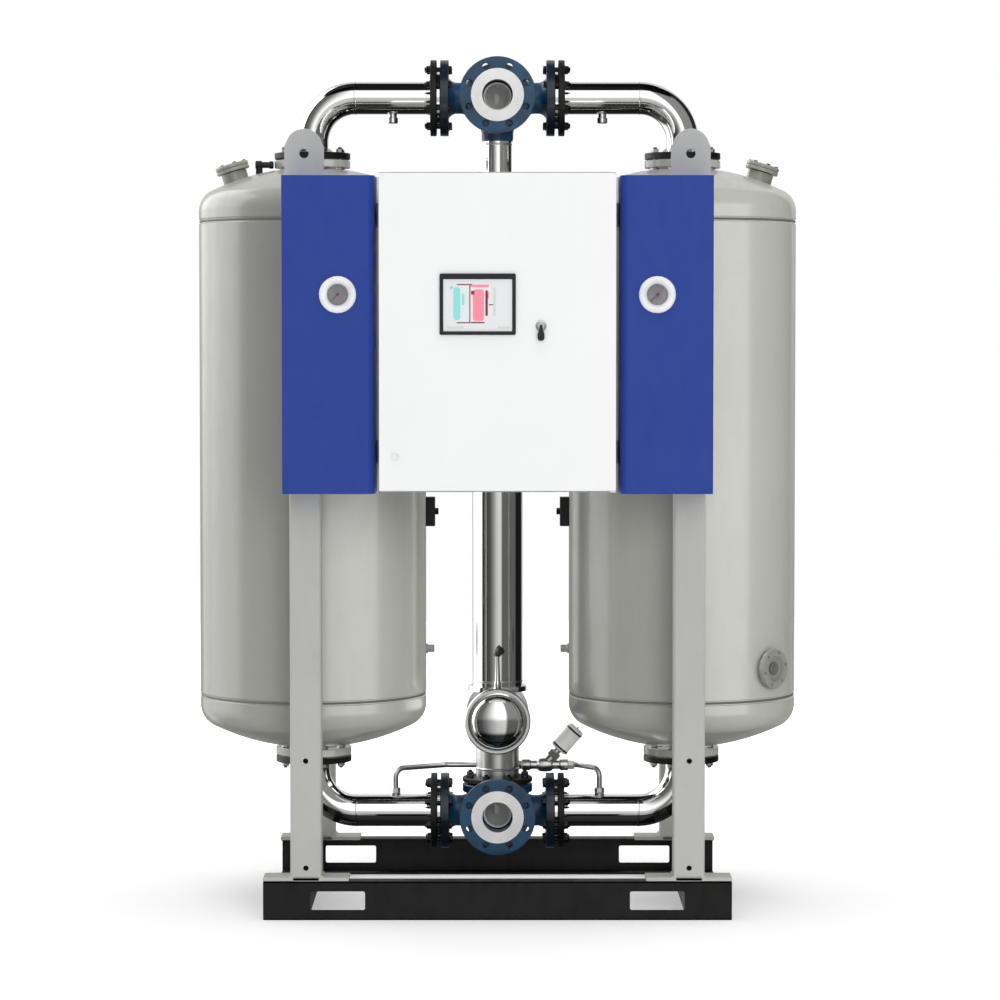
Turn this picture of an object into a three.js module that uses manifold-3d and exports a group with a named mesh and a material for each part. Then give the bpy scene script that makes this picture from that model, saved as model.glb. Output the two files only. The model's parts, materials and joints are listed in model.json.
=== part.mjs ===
// Twin-tower heat-regenerated desiccant air dryer on a two-beam skid.
// Millimetres, +Z up, +X to the right of someone facing the control cabinet, which looks along -Y.
// The towers stand on the plane Y = 0 while the pieces are made. The whole group then moves back by
// TOWER_Y, which puts the origin on the floor at the centre of the bounding box.
import * as THREE from "three";
import { mergeVertices } from "three/addons/utils/BufferGeometryUtils.js";
import Module from "manifold-3d";

const wasm = await Module();
wasm.setup();

// ---------------------------------------------------------------- driving dimensions
const GAP = 0.3; // clearance between faces that touch on the real object
const TOWER_Y = 106;

const VESSEL = {
  x: 490, // axis of each tower from the centre plane
  radius: 300,
  wall: 6,
  weldLow: 545,
  weldHigh: 1795,
  headFlange: 28, // straight rim of a dished head
  crownRadius: 600,
  knuckleRadius: 60,
  padRadius: 100,
  padLow: 381,
  padHigh: 1957,
  boreRadius: 40,
  segments: 28,
};

const PIPE = {
  radius: 42.5,
  bore: 38.5,
  collarBore: 40.9, // inside the pipe's own wall
  bend: 114,
  highZ: 2122,
  lowZ: 228,
  collarRadius: 69,
  flangeRadius: 100,
  flangeBore: 43.2,
  flangeThick: 16,
  valveStub: 9.4, // length of the stub end at the valve
  padStub: 2.7, // and at the vessel's pad
};
const SOCKET = { x: 277, radius: 14, drop: 22, bite: 1.5 }; // threaded socket under an upper pipe

const VALVE = {
  barrelRadius: 79,
  chamberRadius: 68,
  frontY: -116, // front flange starts here
  faceY: -138, // flange face, with the raised face in front of it
  raisedY: -140,
  chamberFront: -72,
  chamberRear: 74,
  rearY: 88,
  raisedRadius: 69,
  neckRadius: 41,
  neckBore: 34,
  neckStart: 60, // inside the barrel's wall
  sideFlangeIn: 129,
  sideFlangeOut: 151,
  spout: { radius: 40, start: 50, end: 114 }, // the upper valve's third port, down to the riser
  crown: { radius: 93, bore: 54, start: 51, end: 73 }, // the lower valve's third port, up to the header
};

const SHAFT = { radius: 10, hole: 10.5, from: 22, to: 148, socketEnd: 152 };
const ROTOR = { outer: 37, inner: 33, bend: 40, front: -70, side: -100, sweep: 67.2 };
const ACTUATOR = {
  collar: 36,
  collarEnd: 106,
  front: 104,
  rear: 178,
  halfWidth: 62,
  halfHeight: 38,
  cap: 36,
  capReach: 78,
  capY: 141,
};

const BEAM = { length: 1200, depth: 50, height: 100, web: 6, outerY: 400 };
const POCKET = { x: 409, width: 140, low: 26, high: 74 };
const BASE_RAIL = { inner: 485, outer: 535, wall: 5 };
const POST = { x: 490, width: 80, wall: 5, top: 1890, plateHalf: 110, plateTop: 110 };
const POST_HOLE = { heights: [134, 409], radius: 7, depth: 60 };
const LUG = {
  width: 100,
  thick: 12,
  bottom: 1840,
  holeZ: 1955,
  top: 2018,
  hole: 12,
  head: 46,
  turn: 0.35, // radians from level to where the head's arc starts
};
const CABINET_RAIL = { low: { lower: 1170, upper: 1770 }, depth: 40, height: 60, wall: 4 };
const BRACKET = { lows: [815, 1560], half: 30, inner: 297, height: 76 };
const BED = { low: 560, rim: 1760, top: 1790, play: 1 };
const SCREEN = { low: 548, high: 559 };
const FILL_PORT = {
  offset: 214.6,
  top: 1947,
  tilt: 17,
  neck: 34,
  bore: 27,
  cap: 44,
  capThick: 20,
  depth: 48,
};
const DRAIN_PORT = {
  angle: 43,
  z: 628,
  neck: 42,
  bore: 34,
  reach: 306,
  cap: 52,
  capThick: 14,
  root: 295,
};
const PORT_CUT = 44; // a port's bore goes this far past its neck, through the vessel's wall

const CABINET = {
  halfWidth: 295,
  low: 1105,
  high: 1900,
  backY: -402,
  shellFrontY: -581,
  doorFrontY: -600,
  doorBackY: -584,
  sheet: 2,
  lip: 12,
};
const DOOR = { half: 294.5, low: 1108.2, high: 1896.8 };
const HINGE = { x: 288, y: -593, pin: 3, hole: 3.5, tab: 2.4, tabHalf: 8, pinFrom: 1, pinTo: 12 };
const HMI = {
  x: -49,
  z: 1572,
  width: 189,
  height: 152,
  frame: 5,
  border: 9,
  topBorder: 13,
  recess: 1.5,
  overlap: 6, // of the frame over the door round the cut-out
  play: 2, // of the housing in the cut-out
  depth: 44,
};
const SWITCH = {
  x: 108,
  z: 1518,
  bezel: 12.5,
  bezelThick: 4,
  hole: 6.4,
  barrel: 6,
  hub: 8,
  hubThick: 5,
  handle: { half: 5, above: 4, below: 36, front: 7.5 },
};
const LATCH = {
  x: -254,
  z: 1193,
  hole: 7.4,
  barrel: 7,
  insert: 11,
  insertThick: 3,
  slot: { half: 1.5, reach: 7, depth: 1.5 },
  cam: { half: 8, below: 34, above: 8, front: -577.5, back: -574.5 },
};
const MOUNTING_PLATE = { half: 260, low: 1140, high: 1865, front: 8, back: 5.5 };
const STUD = { x: 240, heights: [1160, 1845], radius: 6 };
const CONTROLLER = { left: -150, right: 60, low: 1530, step: 1560, high: 1700, depth: 70, stepDepth: 48 };
const PANEL = { inner: 306, outer: 537, low: 1100, high: 1892, frontY: -585, sheet: 2, bend: 18 };
const GAUGE = {
  x: 397,
  z: 1596,
  radius: 46,
  bezel: 11,
  shoulder: 7,
  can: 30,
  canDepth: 40,
  dial: 26,
  dialHeight: 3,
  socket: 1.8,
  socketDepth: 6,
};
const NEEDLE = {
  hub: { radius: 3.4, from: 4.5, to: 7 },
  shaft: { radius: 1.3, from: -5, to: 5 },
  pointer: { length: 27, width: 1.6, thick: 1.2, middle: -7.5, height: 5.8, rest: 45 },
};

const HEADER = { z: 478, radius: 84, wall: 3, frontY: -105, rearY: 140, collar: 77.5, top: 563.7 };
const HEADER_RIM = { radius: 86, depth: 14 };
const HEADER_NECK = { radius: 57, bore: 54, stub: 69, stubThick: 5 };
const HEADER_CAP = { rim: 86, rimThick: 12, dome: 70, rise: 30 };
const HEATER = { radius: 66.5, wall: 3, low: 564, shoulder: 1620, top: 1680 };
const ELEMENT = {
  rods: 6,
  rod: 8,
  circle: 38,
  rodLow: 574,
  rodTop: 1560,
  foot: 62.5,
  footHole: 14,
  footLow: 568,
  footTop: 576,
};
const RISER = { radius: 38, wall: 3 };

const TUBE = { radius: 7, x: 272, y: 80, z: 340, bend: 24, turnX: { left: -140, right: 215 } };
const ANGLE_VALVE = {
  x: 128,
  half: 62.5,
  tilt: 49,
  bonnet: 54.6,
  top: 131,
  radius: 24,
  wall: 4,
  run: 11,
  middle: { radius: 17, half: 20 },
  nut: { radius: 14, length: 24 },
  bonnetNut: { radius: 15, from: 28.6, to: 46.6 },
  flow: 6,
  seat: { radius: 9, from: -4, to: 22 },
  stemHole: 4.4,
};
const ANGLE_STEM = {
  radius: 3.5,
  from: 2,
  to: 136,
  plug: { radius: 8, from: 1, to: 7 },
  piston: { radius: 19, from: 64.6, to: 74.6 },
};

// ---------------------------------------------------------------- finishes
const finish = (color, roughness, metalness) =>
  new THREE.MeshStandardMaterial({ color, roughness, metalness });

const FINISHES = {
  greyPaint: () => finish(0xb4b5ad, 0.45, 0.1),
  postPaint: () => finish(0xb8b8b4, 0.5, 0.1),
  blackPaint: () => finish(0x1e1e1e, 0.55, 0.1),
  stainless: () => finish(0xc9c9c6, 0.16, 1),
  valvePaint: () => finish(0x10466f, 0.3, 0.2),
  bluePaint: () => finish(0x2e4da3, 0.42, 0.1),
  whitePaint: () => finish(0xf1f2f2, 0.4, 0.05),
  darkPlastic: () => finish(0x26282b, 0.5, 0),
  whitePlastic: () => finish(0xe3e4e4, 0.35, 0),
  beads: () => finish(0xe8e2d2, 0.85, 0),
  redNeedle: () => finish(0xb3261e, 0.4, 0),
  zinc: () => finish(0xaeb0ad, 0.35, 0.9),
};

// ---------------------------------------------------------------- solids
// A closed geometry as a solid that can be joined and cut.
function solid(geometry) {
  const bare = new THREE.BufferGeometry();
  bare.setAttribute("position", geometry.getAttribute("position").clone());
  if (geometry.index) bare.setIndex(geometry.index.clone());
  const merged = mergeVertices(bare, 1e-3);
  const corners = merged.index.array;
  const kept = [];
  for (let i = 0; i < corners.length; i += 3) {
    const [a, b, c] = [corners[i], corners[i + 1], corners[i + 2]];
    if (a !== b && b !== c && c !== a) kept.push(a, b, c);
  }
  return new wasm.Manifold(
    new wasm.Mesh({
      numProp: 3,
      vertProperties: new Float32Array(merged.attributes.position.array),
      triVerts: new Uint32Array(kept),
    }),
  );
}

function geometryOf(body) {
  const mesh = body.getMesh();
  const positions = new Float32Array(mesh.numVert * 3);
  for (let i = 0; i < mesh.numVert; i++) {
    for (let k = 0; k < 3; k++) {
      positions[3 * i + k] = mesh.vertProperties[mesh.numProp * i + k];
    }
  }
  const geometry = new THREE.BufferGeometry();
  geometry.setAttribute("position", new THREE.BufferAttribute(positions, 3));
  geometry.setIndex(new THREE.BufferAttribute(mesh.triVerts, 1));
  geometry.computeVertexNormals();
  return geometry;
}

const union = (...bodies) => bodies.reduce((whole, body) => whole.add(body));
const cut = (whole, ...bodies) => bodies.reduce((left, body) => left.subtract(body), whole);

const TURN_TO = {
  x: new THREE.Matrix4().makeRotationZ(-Math.PI / 2),
  y: new THREE.Matrix4(),
  z: new THREE.Matrix4().makeRotationX(Math.PI / 2),
};

// A box from its lowest and highest corners.
function box([x0, y0, z0], [x1, y1, z1]) {
  const geometry = new THREE.BoxGeometry(x1 - x0, y1 - y0, z1 - z0);
  geometry.translate((x0 + x1) / 2, (y0 + y1) / 2, (z0 + z1) / 2);
  return solid(geometry);
}

// A round bar along x, y or z, from `from` to `to` on that axis, through the point `at`.
function bar(axis, radius, from, to, at = [0, 0, 0], segments = 24) {
  const geometry = new THREE.CylinderGeometry(radius, radius, to - from, segments);
  geometry.applyMatrix4(TURN_TO[axis]);
  const centre = new THREE.Vector3(...at);
  centre[axis] = (from + to) / 2;
  geometry.translate(centre.x, centre.y, centre.z);
  return solid(geometry);
}

function ring(axis, outer, inner, from, to, at = [0, 0, 0], segments = 24) {
  const hole = bar(axis, inner, from - 1, to + 1, at, segments);
  return cut(bar(axis, outer, from, to, at, segments), hole);
}

// A body turned about Z, from a profile of [radius, height] that runs counter-clockwise.
function turned(profile, at = [0, 0, 0], segments = 24) {
  const points = profile.map(([radius, height]) => new THREE.Vector2(radius, height));
  const geometry = new THREE.LatheGeometry(points, segments);
  geometry.rotateX(Math.PI / 2);
  geometry.translate(...at);
  return solid(geometry);
}

// A path of straight runs joined by round bends, with few stations on a straight and more on a bend.
class BentPath extends THREE.Curve {
  constructor(corners, bend, stepsPerBend) {
    super();
    const points = corners.map((corner) => new THREE.Vector3(...corner));
    this.stations = [points[0]];
    for (let i = 1; i < points.length - 1; i++) {
      const into = points[i].clone().sub(points[i - 1]).normalize();
      const out = points[i + 1].clone().sub(points[i]).normalize();
      const angle = into.angleTo(out);
      const reach = bend * Math.tan(angle / 2);
      const start = points[i].clone().addScaledVector(into, -reach);
      const inward = out.clone().addScaledVector(into, -into.dot(out)).normalize();
      const centre = start.clone().addScaledVector(inward, bend);
      for (let k = 0; k <= stepsPerBend; k++) {
        const turn = (angle * k) / stepsPerBend;
        const station = centre.clone().addScaledVector(inward, -bend * Math.cos(turn));
        this.stations.push(station.addScaledVector(into, bend * Math.sin(turn)));
      }
    }
    this.stations.push(points[points.length - 1]);
  }
  getPoint(t) {
    const place = t * (this.stations.length - 1);
    const index = Math.min(Math.floor(place), this.stations.length - 2);
    return this.stations[index].clone().lerp(this.stations[index + 1], place - index);
  }
  getPointAt(u) {
    return this.getPoint(u);
  }
  getTangentAt(u) {
    const last = this.stations.length - 1;
    const index = Math.round(u * last);
    const before = this.stations[Math.max(index - 1, 0)];
    const here = this.stations[index];
    const after = this.stations[Math.min(index + 1, last)];
    const into = index > 0 ? here.clone().sub(before).normalize() : new THREE.Vector3();
    const out = index < last ? after.clone().sub(here).normalize() : new THREE.Vector3();
    return into.add(out).normalize();
  }
}

function tubeAlong(corners, bend, outer, inner, segments, stepsPerBend) {
  const shape = new THREE.Shape().absarc(0, 0, outer, 0, 2 * Math.PI);
  if (inner) shape.holes.push(new THREE.Path().absarc(0, 0, inner, 0, 2 * Math.PI, true));
  const path = new BentPath(corners, bend, stepsPerBend);
  const steps = path.stations.length - 1;
  const curveSegments = segments / 2; // a full circle is split into twice this many
  return solid(new THREE.ExtrudeGeometry(shape, { steps, extrudePath: path, curveSegments }));
}

const dryer = new THREE.Group();
dryer.position.y = TOWER_Y;

function addPiece(name, body, makeFinish) {
  const mesh = new THREE.Mesh(geometryOf(body), makeFinish());
  mesh.name = name;
  dryer.add(mesh);
}

const SIDES = [
  { side: "left", sign: -1 },
  { side: "right", sign: 1 },
];
const ENDS = [
  { end: "front", facing: -1 },
  { end: "rear", facing: 1 },
];

// A box given for the right-hand and rear quarter, mirrored to the side `sx` and the end `sy`.
function mirroredBox(sx, sy, [x0, y0, z0], [x1, y1, z1]) {
  const xs = [sx * x0, sx * x1].sort((a, b) => a - b);
  const ys = [sy * y0, sy * y1].sort((a, b) => a - b);
  return box([xs[0], ys[0], z0], [xs[1], ys[1], z1]);
}

// ---------------------------------------------------------------- skid
// A channel beam, web outwards, with a pair of fork pockets through the web.
function channelBeam(facing) {
  const half = BEAM.length / 2;
  const inner = BEAM.outerY - BEAM.depth;
  const webIn = BEAM.outerY - BEAM.web;
  const whole = mirroredBox(1, facing, [-half, inner, 0], [half, BEAM.outerY, BEAM.height]);
  const hollow = mirroredBox(
    1, facing, [-half - 1, inner - 1, BEAM.web], [half + 1, webIn, BEAM.height - BEAM.web],
  );
  const pockets = SIDES.map(({ sign }) =>
    mirroredBox(
      1, facing,
      [sign * POCKET.x - POCKET.width / 2, webIn - 1, POCKET.low],
      [sign * POCKET.x + POCKET.width / 2, BEAM.outerY + 1, POCKET.high],
    ),
  );
  return cut(whole, hollow, ...pockets);
}

// A square tube that ties the two beams together under the feet of the posts.
function baseRail(sign) {
  const reach = BEAM.outerY - BEAM.depth - GAP;
  const { inner, outer, wall } = BASE_RAIL;
  const tube = mirroredBox(sign, 1, [inner, -reach, 0], [outer, reach, BEAM.height - GAP]);
  const bore = mirroredBox(
    sign, 1,
    [inner + wall, -reach - 1, wall],
    [outer - wall, reach + 1, BEAM.height - wall],
  );
  return cut(tube, bore);
}

// A lifting lug: a plate with a round head and a shackle hole.
function liftingLug(x, facing) {
  const half = LUG.width / 2;
  const shoulder = LUG.top - LUG.head;
  const outline = new THREE.Shape();
  outline.moveTo(-half, LUG.bottom);
  outline.lineTo(half, LUG.bottom);
  outline.lineTo(half, shoulder);
  outline.lineTo(LUG.head * Math.cos(LUG.turn), shoulder + LUG.head * Math.sin(LUG.turn));
  outline.absarc(0, shoulder, LUG.head, LUG.turn, Math.PI - LUG.turn);
  outline.lineTo(-half, shoulder);
  outline.holes.push(new THREE.Path().absarc(0, LUG.holeZ, LUG.hole, 0, 2 * Math.PI, true));
  const geometry = new THREE.ExtrudeGeometry(outline, {
    depth: LUG.thick,
    bevelEnabled: false,
    curveSegments: 6,
  });
  geometry.rotateX(Math.PI / 2);
  const front = facing < 0 ? -BEAM.outerY + LUG.thick : BEAM.outerY;
  geometry.translate(x, front, 0);
  return solid(geometry);
}

// A hollow square post with its base plate, its lug and the bolt holes in its outer face.
function post(sign, facing) {
  const half = POST.width / 2;
  const outerY = BEAM.outerY;
  const innerY = outerY - POST.width;
  const x = sign * POST.x;
  const tube = mirroredBox(
    1, facing, [x - half, innerY, BEAM.height + GAP], [x + half, outerY, POST.top],
  );
  const plate = mirroredBox(
    1, facing,
    [x - POST.plateHalf, innerY, BEAM.height + GAP],
    [x + POST.plateHalf, outerY, POST.plateTop],
  );
  const hollow = mirroredBox(
    1, facing,
    [x - half + POST.wall, innerY + POST.wall, POST.plateTop],
    [x + half - POST.wall, outerY - LUG.thick, POST.top + 1],
  );
  const holes = POST_HOLE.heights.map((z) => {
    const ends = [facing * (outerY + 1), facing * (outerY - POST_HOLE.depth)].sort((a, b) => a - b);
    return bar("y", POST_HOLE.radius, ...ends, [x, 0, z], 8);
  });
  const steel = cut(union(tube, plate), hollow, ...holes);
  return union(steel, liftingLug(x, facing));
}

// A rectangular tube between the two front posts that carries the cabinet's back.
function cabinetRail(low) {
  const { depth, height, wall } = CABINET_RAIL;
  const reach = POST.x - POST.width / 2 - GAP;
  const front = CABINET.backY + GAP;
  const outer = box([-reach, front, low], [reach, front + depth, low + height]);
  const bore = box(
    [-reach - 1, front + wall, low + wall],
    [reach + 1, front + depth - wall, low + height - wall],
  );
  return cut(outer, bore);
}

function buildSkid() {
  for (const { end, facing } of ENDS) {
    addPiece(`base_beam_${end}`, channelBeam(facing), FINISHES.blackPaint);
    for (const { side, sign } of SIDES) {
      addPiece(`post_${end}_${side}`, post(sign, facing), FINISHES.postPaint);
    }
  }
  for (const { side, sign } of SIDES) {
    addPiece(`base_rail_${side}`, baseRail(sign), FINISHES.blackPaint);
  }
  for (const [level, low] of Object.entries(CABINET_RAIL.low)) {
    addPiece(`cabinet_rail_${level}`, cabinetRail(low), FINISHES.postPaint);
  }
}

// ---------------------------------------------------------------- towers
const HEAD_HEIGHT = 116; // knuckle tangent to crown apex
const KNUCKLE_START = Math.asin(
  (VESSEL.radius - VESSEL.knuckleRadius) / (VESSEL.crownRadius - VESSEL.knuckleRadius),
);

// Points of a dished head from `start` mm off the axis out to its rim, `inset` inside the skin.
// The height is measured from the knuckle's tangent line.
function headPoints(start, inset, crownSteps, knuckleSteps) {
  const crown = VESSEL.crownRadius - inset;
  const knuckle = VESSEL.knuckleRadius - inset;
  const crownCentre = HEAD_HEIGHT - VESSEL.crownRadius;
  const first = Math.asin(start / crown);
  const points = [];
  for (let k = 0; k <= crownSteps; k++) {
    const angle = first + ((KNUCKLE_START - first) * k) / crownSteps;
    points.push([crown * Math.sin(angle), crownCentre + crown * Math.cos(angle)]);
  }
  const knuckleX = VESSEL.radius - VESSEL.knuckleRadius;
  for (let k = 1; k <= knuckleSteps; k++) {
    const angle = KNUCKLE_START + ((Math.PI / 2 - KNUCKLE_START) * k) / knuckleSteps;
    points.push([knuckleX + knuckle * Math.sin(angle), knuckle * Math.cos(angle)]);
  }
  return points;
}

function vesselProfile() {
  const tangentHigh = VESSEL.weldHigh + VESSEL.headFlange;
  const tangentLow = VESSEL.weldLow - VESSEL.headFlange;
  const skin = headPoints(VESSEL.padRadius, 0, 2, 3);
  const inside = headPoints(VESSEL.boreRadius, VESSEL.wall, 1, 2);
  const onTop = ([radius, height]) => [radius, tangentHigh + height];
  const below = ([radius, height]) => [radius, tangentLow - height];
  const profile = [
    [VESSEL.boreRadius, VESSEL.padLow],
    [VESSEL.padRadius, VESSEL.padLow],
    ...skin.map(below),
    ...skin.map(onTop).reverse(),
    [VESSEL.padRadius, VESSEL.padHigh],
    [VESSEL.boreRadius, VESSEL.padHigh],
    ...inside.map(onTop),
    ...inside.map(below).reverse(),
  ];
  return [...profile, profile[0]];
}

// A piece made along +Z, leaned outwards over the dome and set on its port.
function onFillPort(sign, makeBody) {
  const geometry = geometryOf(makeBody());
  geometry.rotateY(sign * THREE.MathUtils.degToRad(FILL_PORT.tilt));
  geometry.translate(sign * (VESSEL.x + FILL_PORT.offset), 0, FILL_PORT.top);
  return solid(geometry);
}

// A piece made along +Z, laid down to point out of the tower's side at the drain port.
// The left tower is the right one turned half round, so its port is at the rear.
function onDrainPort(sign, makeBody) {
  const geometry = geometryOf(makeBody());
  geometry.rotateX(Math.PI / 2);
  geometry.rotateZ(THREE.MathUtils.degToRad(DRAIN_PORT.angle) + (sign < 0 ? Math.PI : 0));
  geometry.translate(sign * VESSEL.x, 0, DRAIN_PORT.z);
  return solid(geometry);
}

const portBar = (radius, from, to) => bar("z", radius, from, to, [0, 0, 0], 14);

function vessel(sign) {
  const x = sign * VESSEL.x;
  const shell = turned(vesselProfile(), [x, 0, 0], VESSEL.segments);
  const { lows, half, inner, height } = BRACKET;
  const post = BEAM.outerY - POST.width - GAP;
  const brackets = lows.flatMap((low) =>
    ENDS.map(({ facing }) =>
      mirroredBox(1, facing, [x - half, inner, low], [x + half, post, low + height]),
    ),
  );
  const { depth, capThick } = FILL_PORT;
  const { root, reach } = DRAIN_PORT;
  const fillNeck = onFillPort(sign, () => portBar(FILL_PORT.neck, -depth, -capThick));
  const fillBore = onFillPort(sign, () => portBar(FILL_PORT.bore, -depth - PORT_CUT, 1));
  const drainNeck = onDrainPort(sign, () => portBar(DRAIN_PORT.neck, root, reach));
  const drainBore = onDrainPort(sign, () => portBar(DRAIN_PORT.bore, root - PORT_CUT, reach + 1));
  return cut(union(shell, ...brackets, fillNeck, drainNeck), fillBore, drainBore);
}

// The filling of alumina beads, with the dished shape of the space above the lower screen.
function desiccantBed(sign) {
  const radius = VESSEL.radius - VESSEL.wall - BED.play;
  const profile = [[0, BED.low], [radius, BED.low], [radius, BED.rim], [0, BED.top]];
  return turned(profile, [sign * VESSEL.x, 0, 0], VESSEL.segments);
}

function bedScreen(sign) {
  const radius = VESSEL.radius - VESSEL.wall - BED.play;
  const profile = [[0, SCREEN.low], [radius, SCREEN.low], [radius, SCREEN.high], [0, SCREEN.high]];
  return turned(profile, [sign * VESSEL.x, 0, 0], VESSEL.segments);
}

function buildTowers() {
  for (const { side, sign } of SIDES) {
    addPiece(`vessel_${side}`, vessel(sign), FINISHES.greyPaint);
    addPiece(`desiccant_bed_${side}`, desiccantBed(sign), FINISHES.beads);
    addPiece(`bed_screen_${side}`, bedScreen(sign), FINISHES.zinc);
    const fillCap = () => portBar(FILL_PORT.cap, GAP - FILL_PORT.capThick, 0);
    addPiece(`fill_port_cap_${side}`, onFillPort(sign, fillCap), FINISHES.greyPaint);
    const start = DRAIN_PORT.reach + GAP;
    const drainCap = () => portBar(DRAIN_PORT.cap, start, start + DRAIN_PORT.capThick);
    addPiece(`drain_port_cap_${side}`, onDrainPort(sign, drainCap), FINISHES.greyPaint);
  }
}

// ---------------------------------------------------------------- changeover valves
// `third` is -1 where the third port points down and 1 where it points up.
function valveBody(z, third) {
  const at = [0, 0, z];
  const barrel = bar("y", VALVE.barrelRadius, VALVE.frontY, VALVE.rearY, at, 24);
  const front = bar("y", PIPE.flangeRadius, VALVE.faceY, VALVE.frontY, at, 24);
  const raised = bar("y", VALVE.raisedRadius, VALVE.raisedY, VALVE.faceY, at, 24);
  const sides = SIDES.map(({ sign }) => {
    const reach = [sign * VALVE.neckStart, sign * VALVE.sideFlangeOut].sort((a, b) => a - b);
    const rim = [sign * VALVE.sideFlangeIn, sign * VALVE.sideFlangeOut].sort((a, b) => a - b);
    return union(
      bar("x", VALVE.neckRadius, ...reach, at, 16),
      bar("x", PIPE.flangeRadius, ...rim, at, 24),
    );
  });
  const { spout, crown } = VALVE;
  const thirdPort =
    third < 0
      ? bar("z", spout.radius, z - spout.end, z - spout.start, [0, 0, 0], 16)
      : bar("z", crown.radius, z + crown.start, z + crown.end, [0, 0, 0], 24);
  const whole = union(barrel, front, raised, ...sides, thirdPort);
  const clearTop = third < 0 ? whole : cut(whole, spaceOverCrown(z));
  const chamber = bar("y", VALVE.chamberRadius, VALVE.chamberFront, VALVE.chamberRear, at, 24);
  const frontBore = bar("y", VESSEL.boreRadius, VALVE.raisedY - 1, 0, at, 20);
  const sideReach = VALVE.sideFlangeOut + 1;
  const sideBore = bar("x", VALVE.neckBore, -sideReach, sideReach, at, 16);
  const thirdBore =
    third < 0
      ? bar("z", RISER.radius - RISER.wall, z - spout.end - 1, z, [0, 0, 0], 16)
      : bar("z", crown.bore, z, z + crown.end + 1, [0, 0, 0], 16);
  const shaftHole = bar("y", SHAFT.hole, 0, VALVE.rearY + 1, at, 12);
  return cut(clearTop, chamber, frontBore, sideBore, thirdBore, shaftHole);
}

// The block that levels the barrel's top for the crown, between the side flanges and behind the front one.
function spaceOverCrown(z) {
  const reach = VALVE.sideFlangeIn - 1;
  return box([-reach, VALVE.frontY, z + VALVE.crown.end], [reach, 2 * reach, z + 2 * reach]);
}

// An elbow that joins the front port to one side port, on a shaft that leaves at the rear.
function valveRotor(z) {
  const path = [[0, ROTOR.front, 0], [0, 0, 0], [ROTOR.side, 0, 0]];
  const elbow = tubeAlong(path, ROTOR.bend, ROTOR.outer, ROTOR.inner, 16, 4);
  const sweep = bar("y", ROTOR.sweep, ROTOR.side, -ROTOR.side, [0, 0, 0], 24);
  const shaft = bar("y", SHAFT.radius, SHAFT.from, SHAFT.to, [0, 0, 0], 12);
  const geometry = geometryOf(union(elbow.intersect(sweep), shaft));
  geometry.translate(0, 0, z);
  return solid(geometry);
}

// A rack-and-pinion quarter-turn drive, two racks long, bolted behind the valve.
function valveActuator(z) {
  const { collar, collarEnd, front, rear, halfWidth, halfHeight, cap, capReach, capY } = ACTUATOR;
  const at = [0, 0, z];
  const neck = bar("y", collar, VALVE.rearY + GAP, collarEnd, at, 24);
  const housing = box([-halfWidth, front, z - halfHeight], [halfWidth, rear, z + halfHeight]);
  const endCaps = bar("x", cap, -capReach, capReach, [0, capY, z], 20);
  const socket = bar("y", SHAFT.hole, VALVE.rearY, SHAFT.socketEnd, at, 12);
  return cut(union(neck, housing, endCaps), socket);
}

function buildValves() {
  const places = [
    { level: "upper", z: PIPE.highZ, third: -1 },
    { level: "lower", z: PIPE.lowZ, third: 1 },
  ];
  for (const { level, z, third } of places) {
    addPiece(`${level}_valve_body`, valveBody(z, third), FINISHES.valvePaint);
    addPiece(`${level}_valve_rotor`, valveRotor(z), FINISHES.stainless);
    addPiece(`${level}_valve_actuator`, valveActuator(z), FINISHES.darkPlastic);
  }
}

// ---------------------------------------------------------------- pipework
// A pipe from a valve's side flange round a long bend to a vessel's pad, with its two stub ends.
function towerPipe(sign, z, padZ) {
  const start = sign * (VALVE.sideFlangeOut + GAP);
  const x = sign * VESSEL.x;
  const toward = Math.sign(padZ - z);
  const end = padZ - toward * GAP;
  const run = [[start, 0, z], [x, 0, z], [x, 0, end]];
  const pipe = tubeAlong(run, PIPE.bend, PIPE.radius, PIPE.bore, 14, 5);
  const valveCollar = [start, start + sign * PIPE.valveStub].sort((a, b) => a - b);
  const padCollar = [end, end - toward * PIPE.padStub].sort((a, b) => a - b);
  return union(
    pipe,
    ring("x", PIPE.collarRadius, PIPE.collarBore, ...valveCollar, [0, 0, z], 14),
    ring("z", PIPE.collarRadius, PIPE.collarBore, ...padCollar, [x, 0, 0], 14),
  );
}

// A threaded socket for an instrument, closed, under an upper pipe.
function pipeSocket(sign, z) {
  const skin = z - PIPE.radius;
  return bar("z", SOCKET.radius, skin - SOCKET.drop, skin + SOCKET.bite, [sign * SOCKET.x, 0, 0], 16);
}

function looseFlange(axis, from, at) {
  const { flangeRadius, flangeBore, flangeThick } = PIPE;
  return ring(axis, flangeRadius, flangeBore, from, from + flangeThick, at, 20);
}

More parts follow.
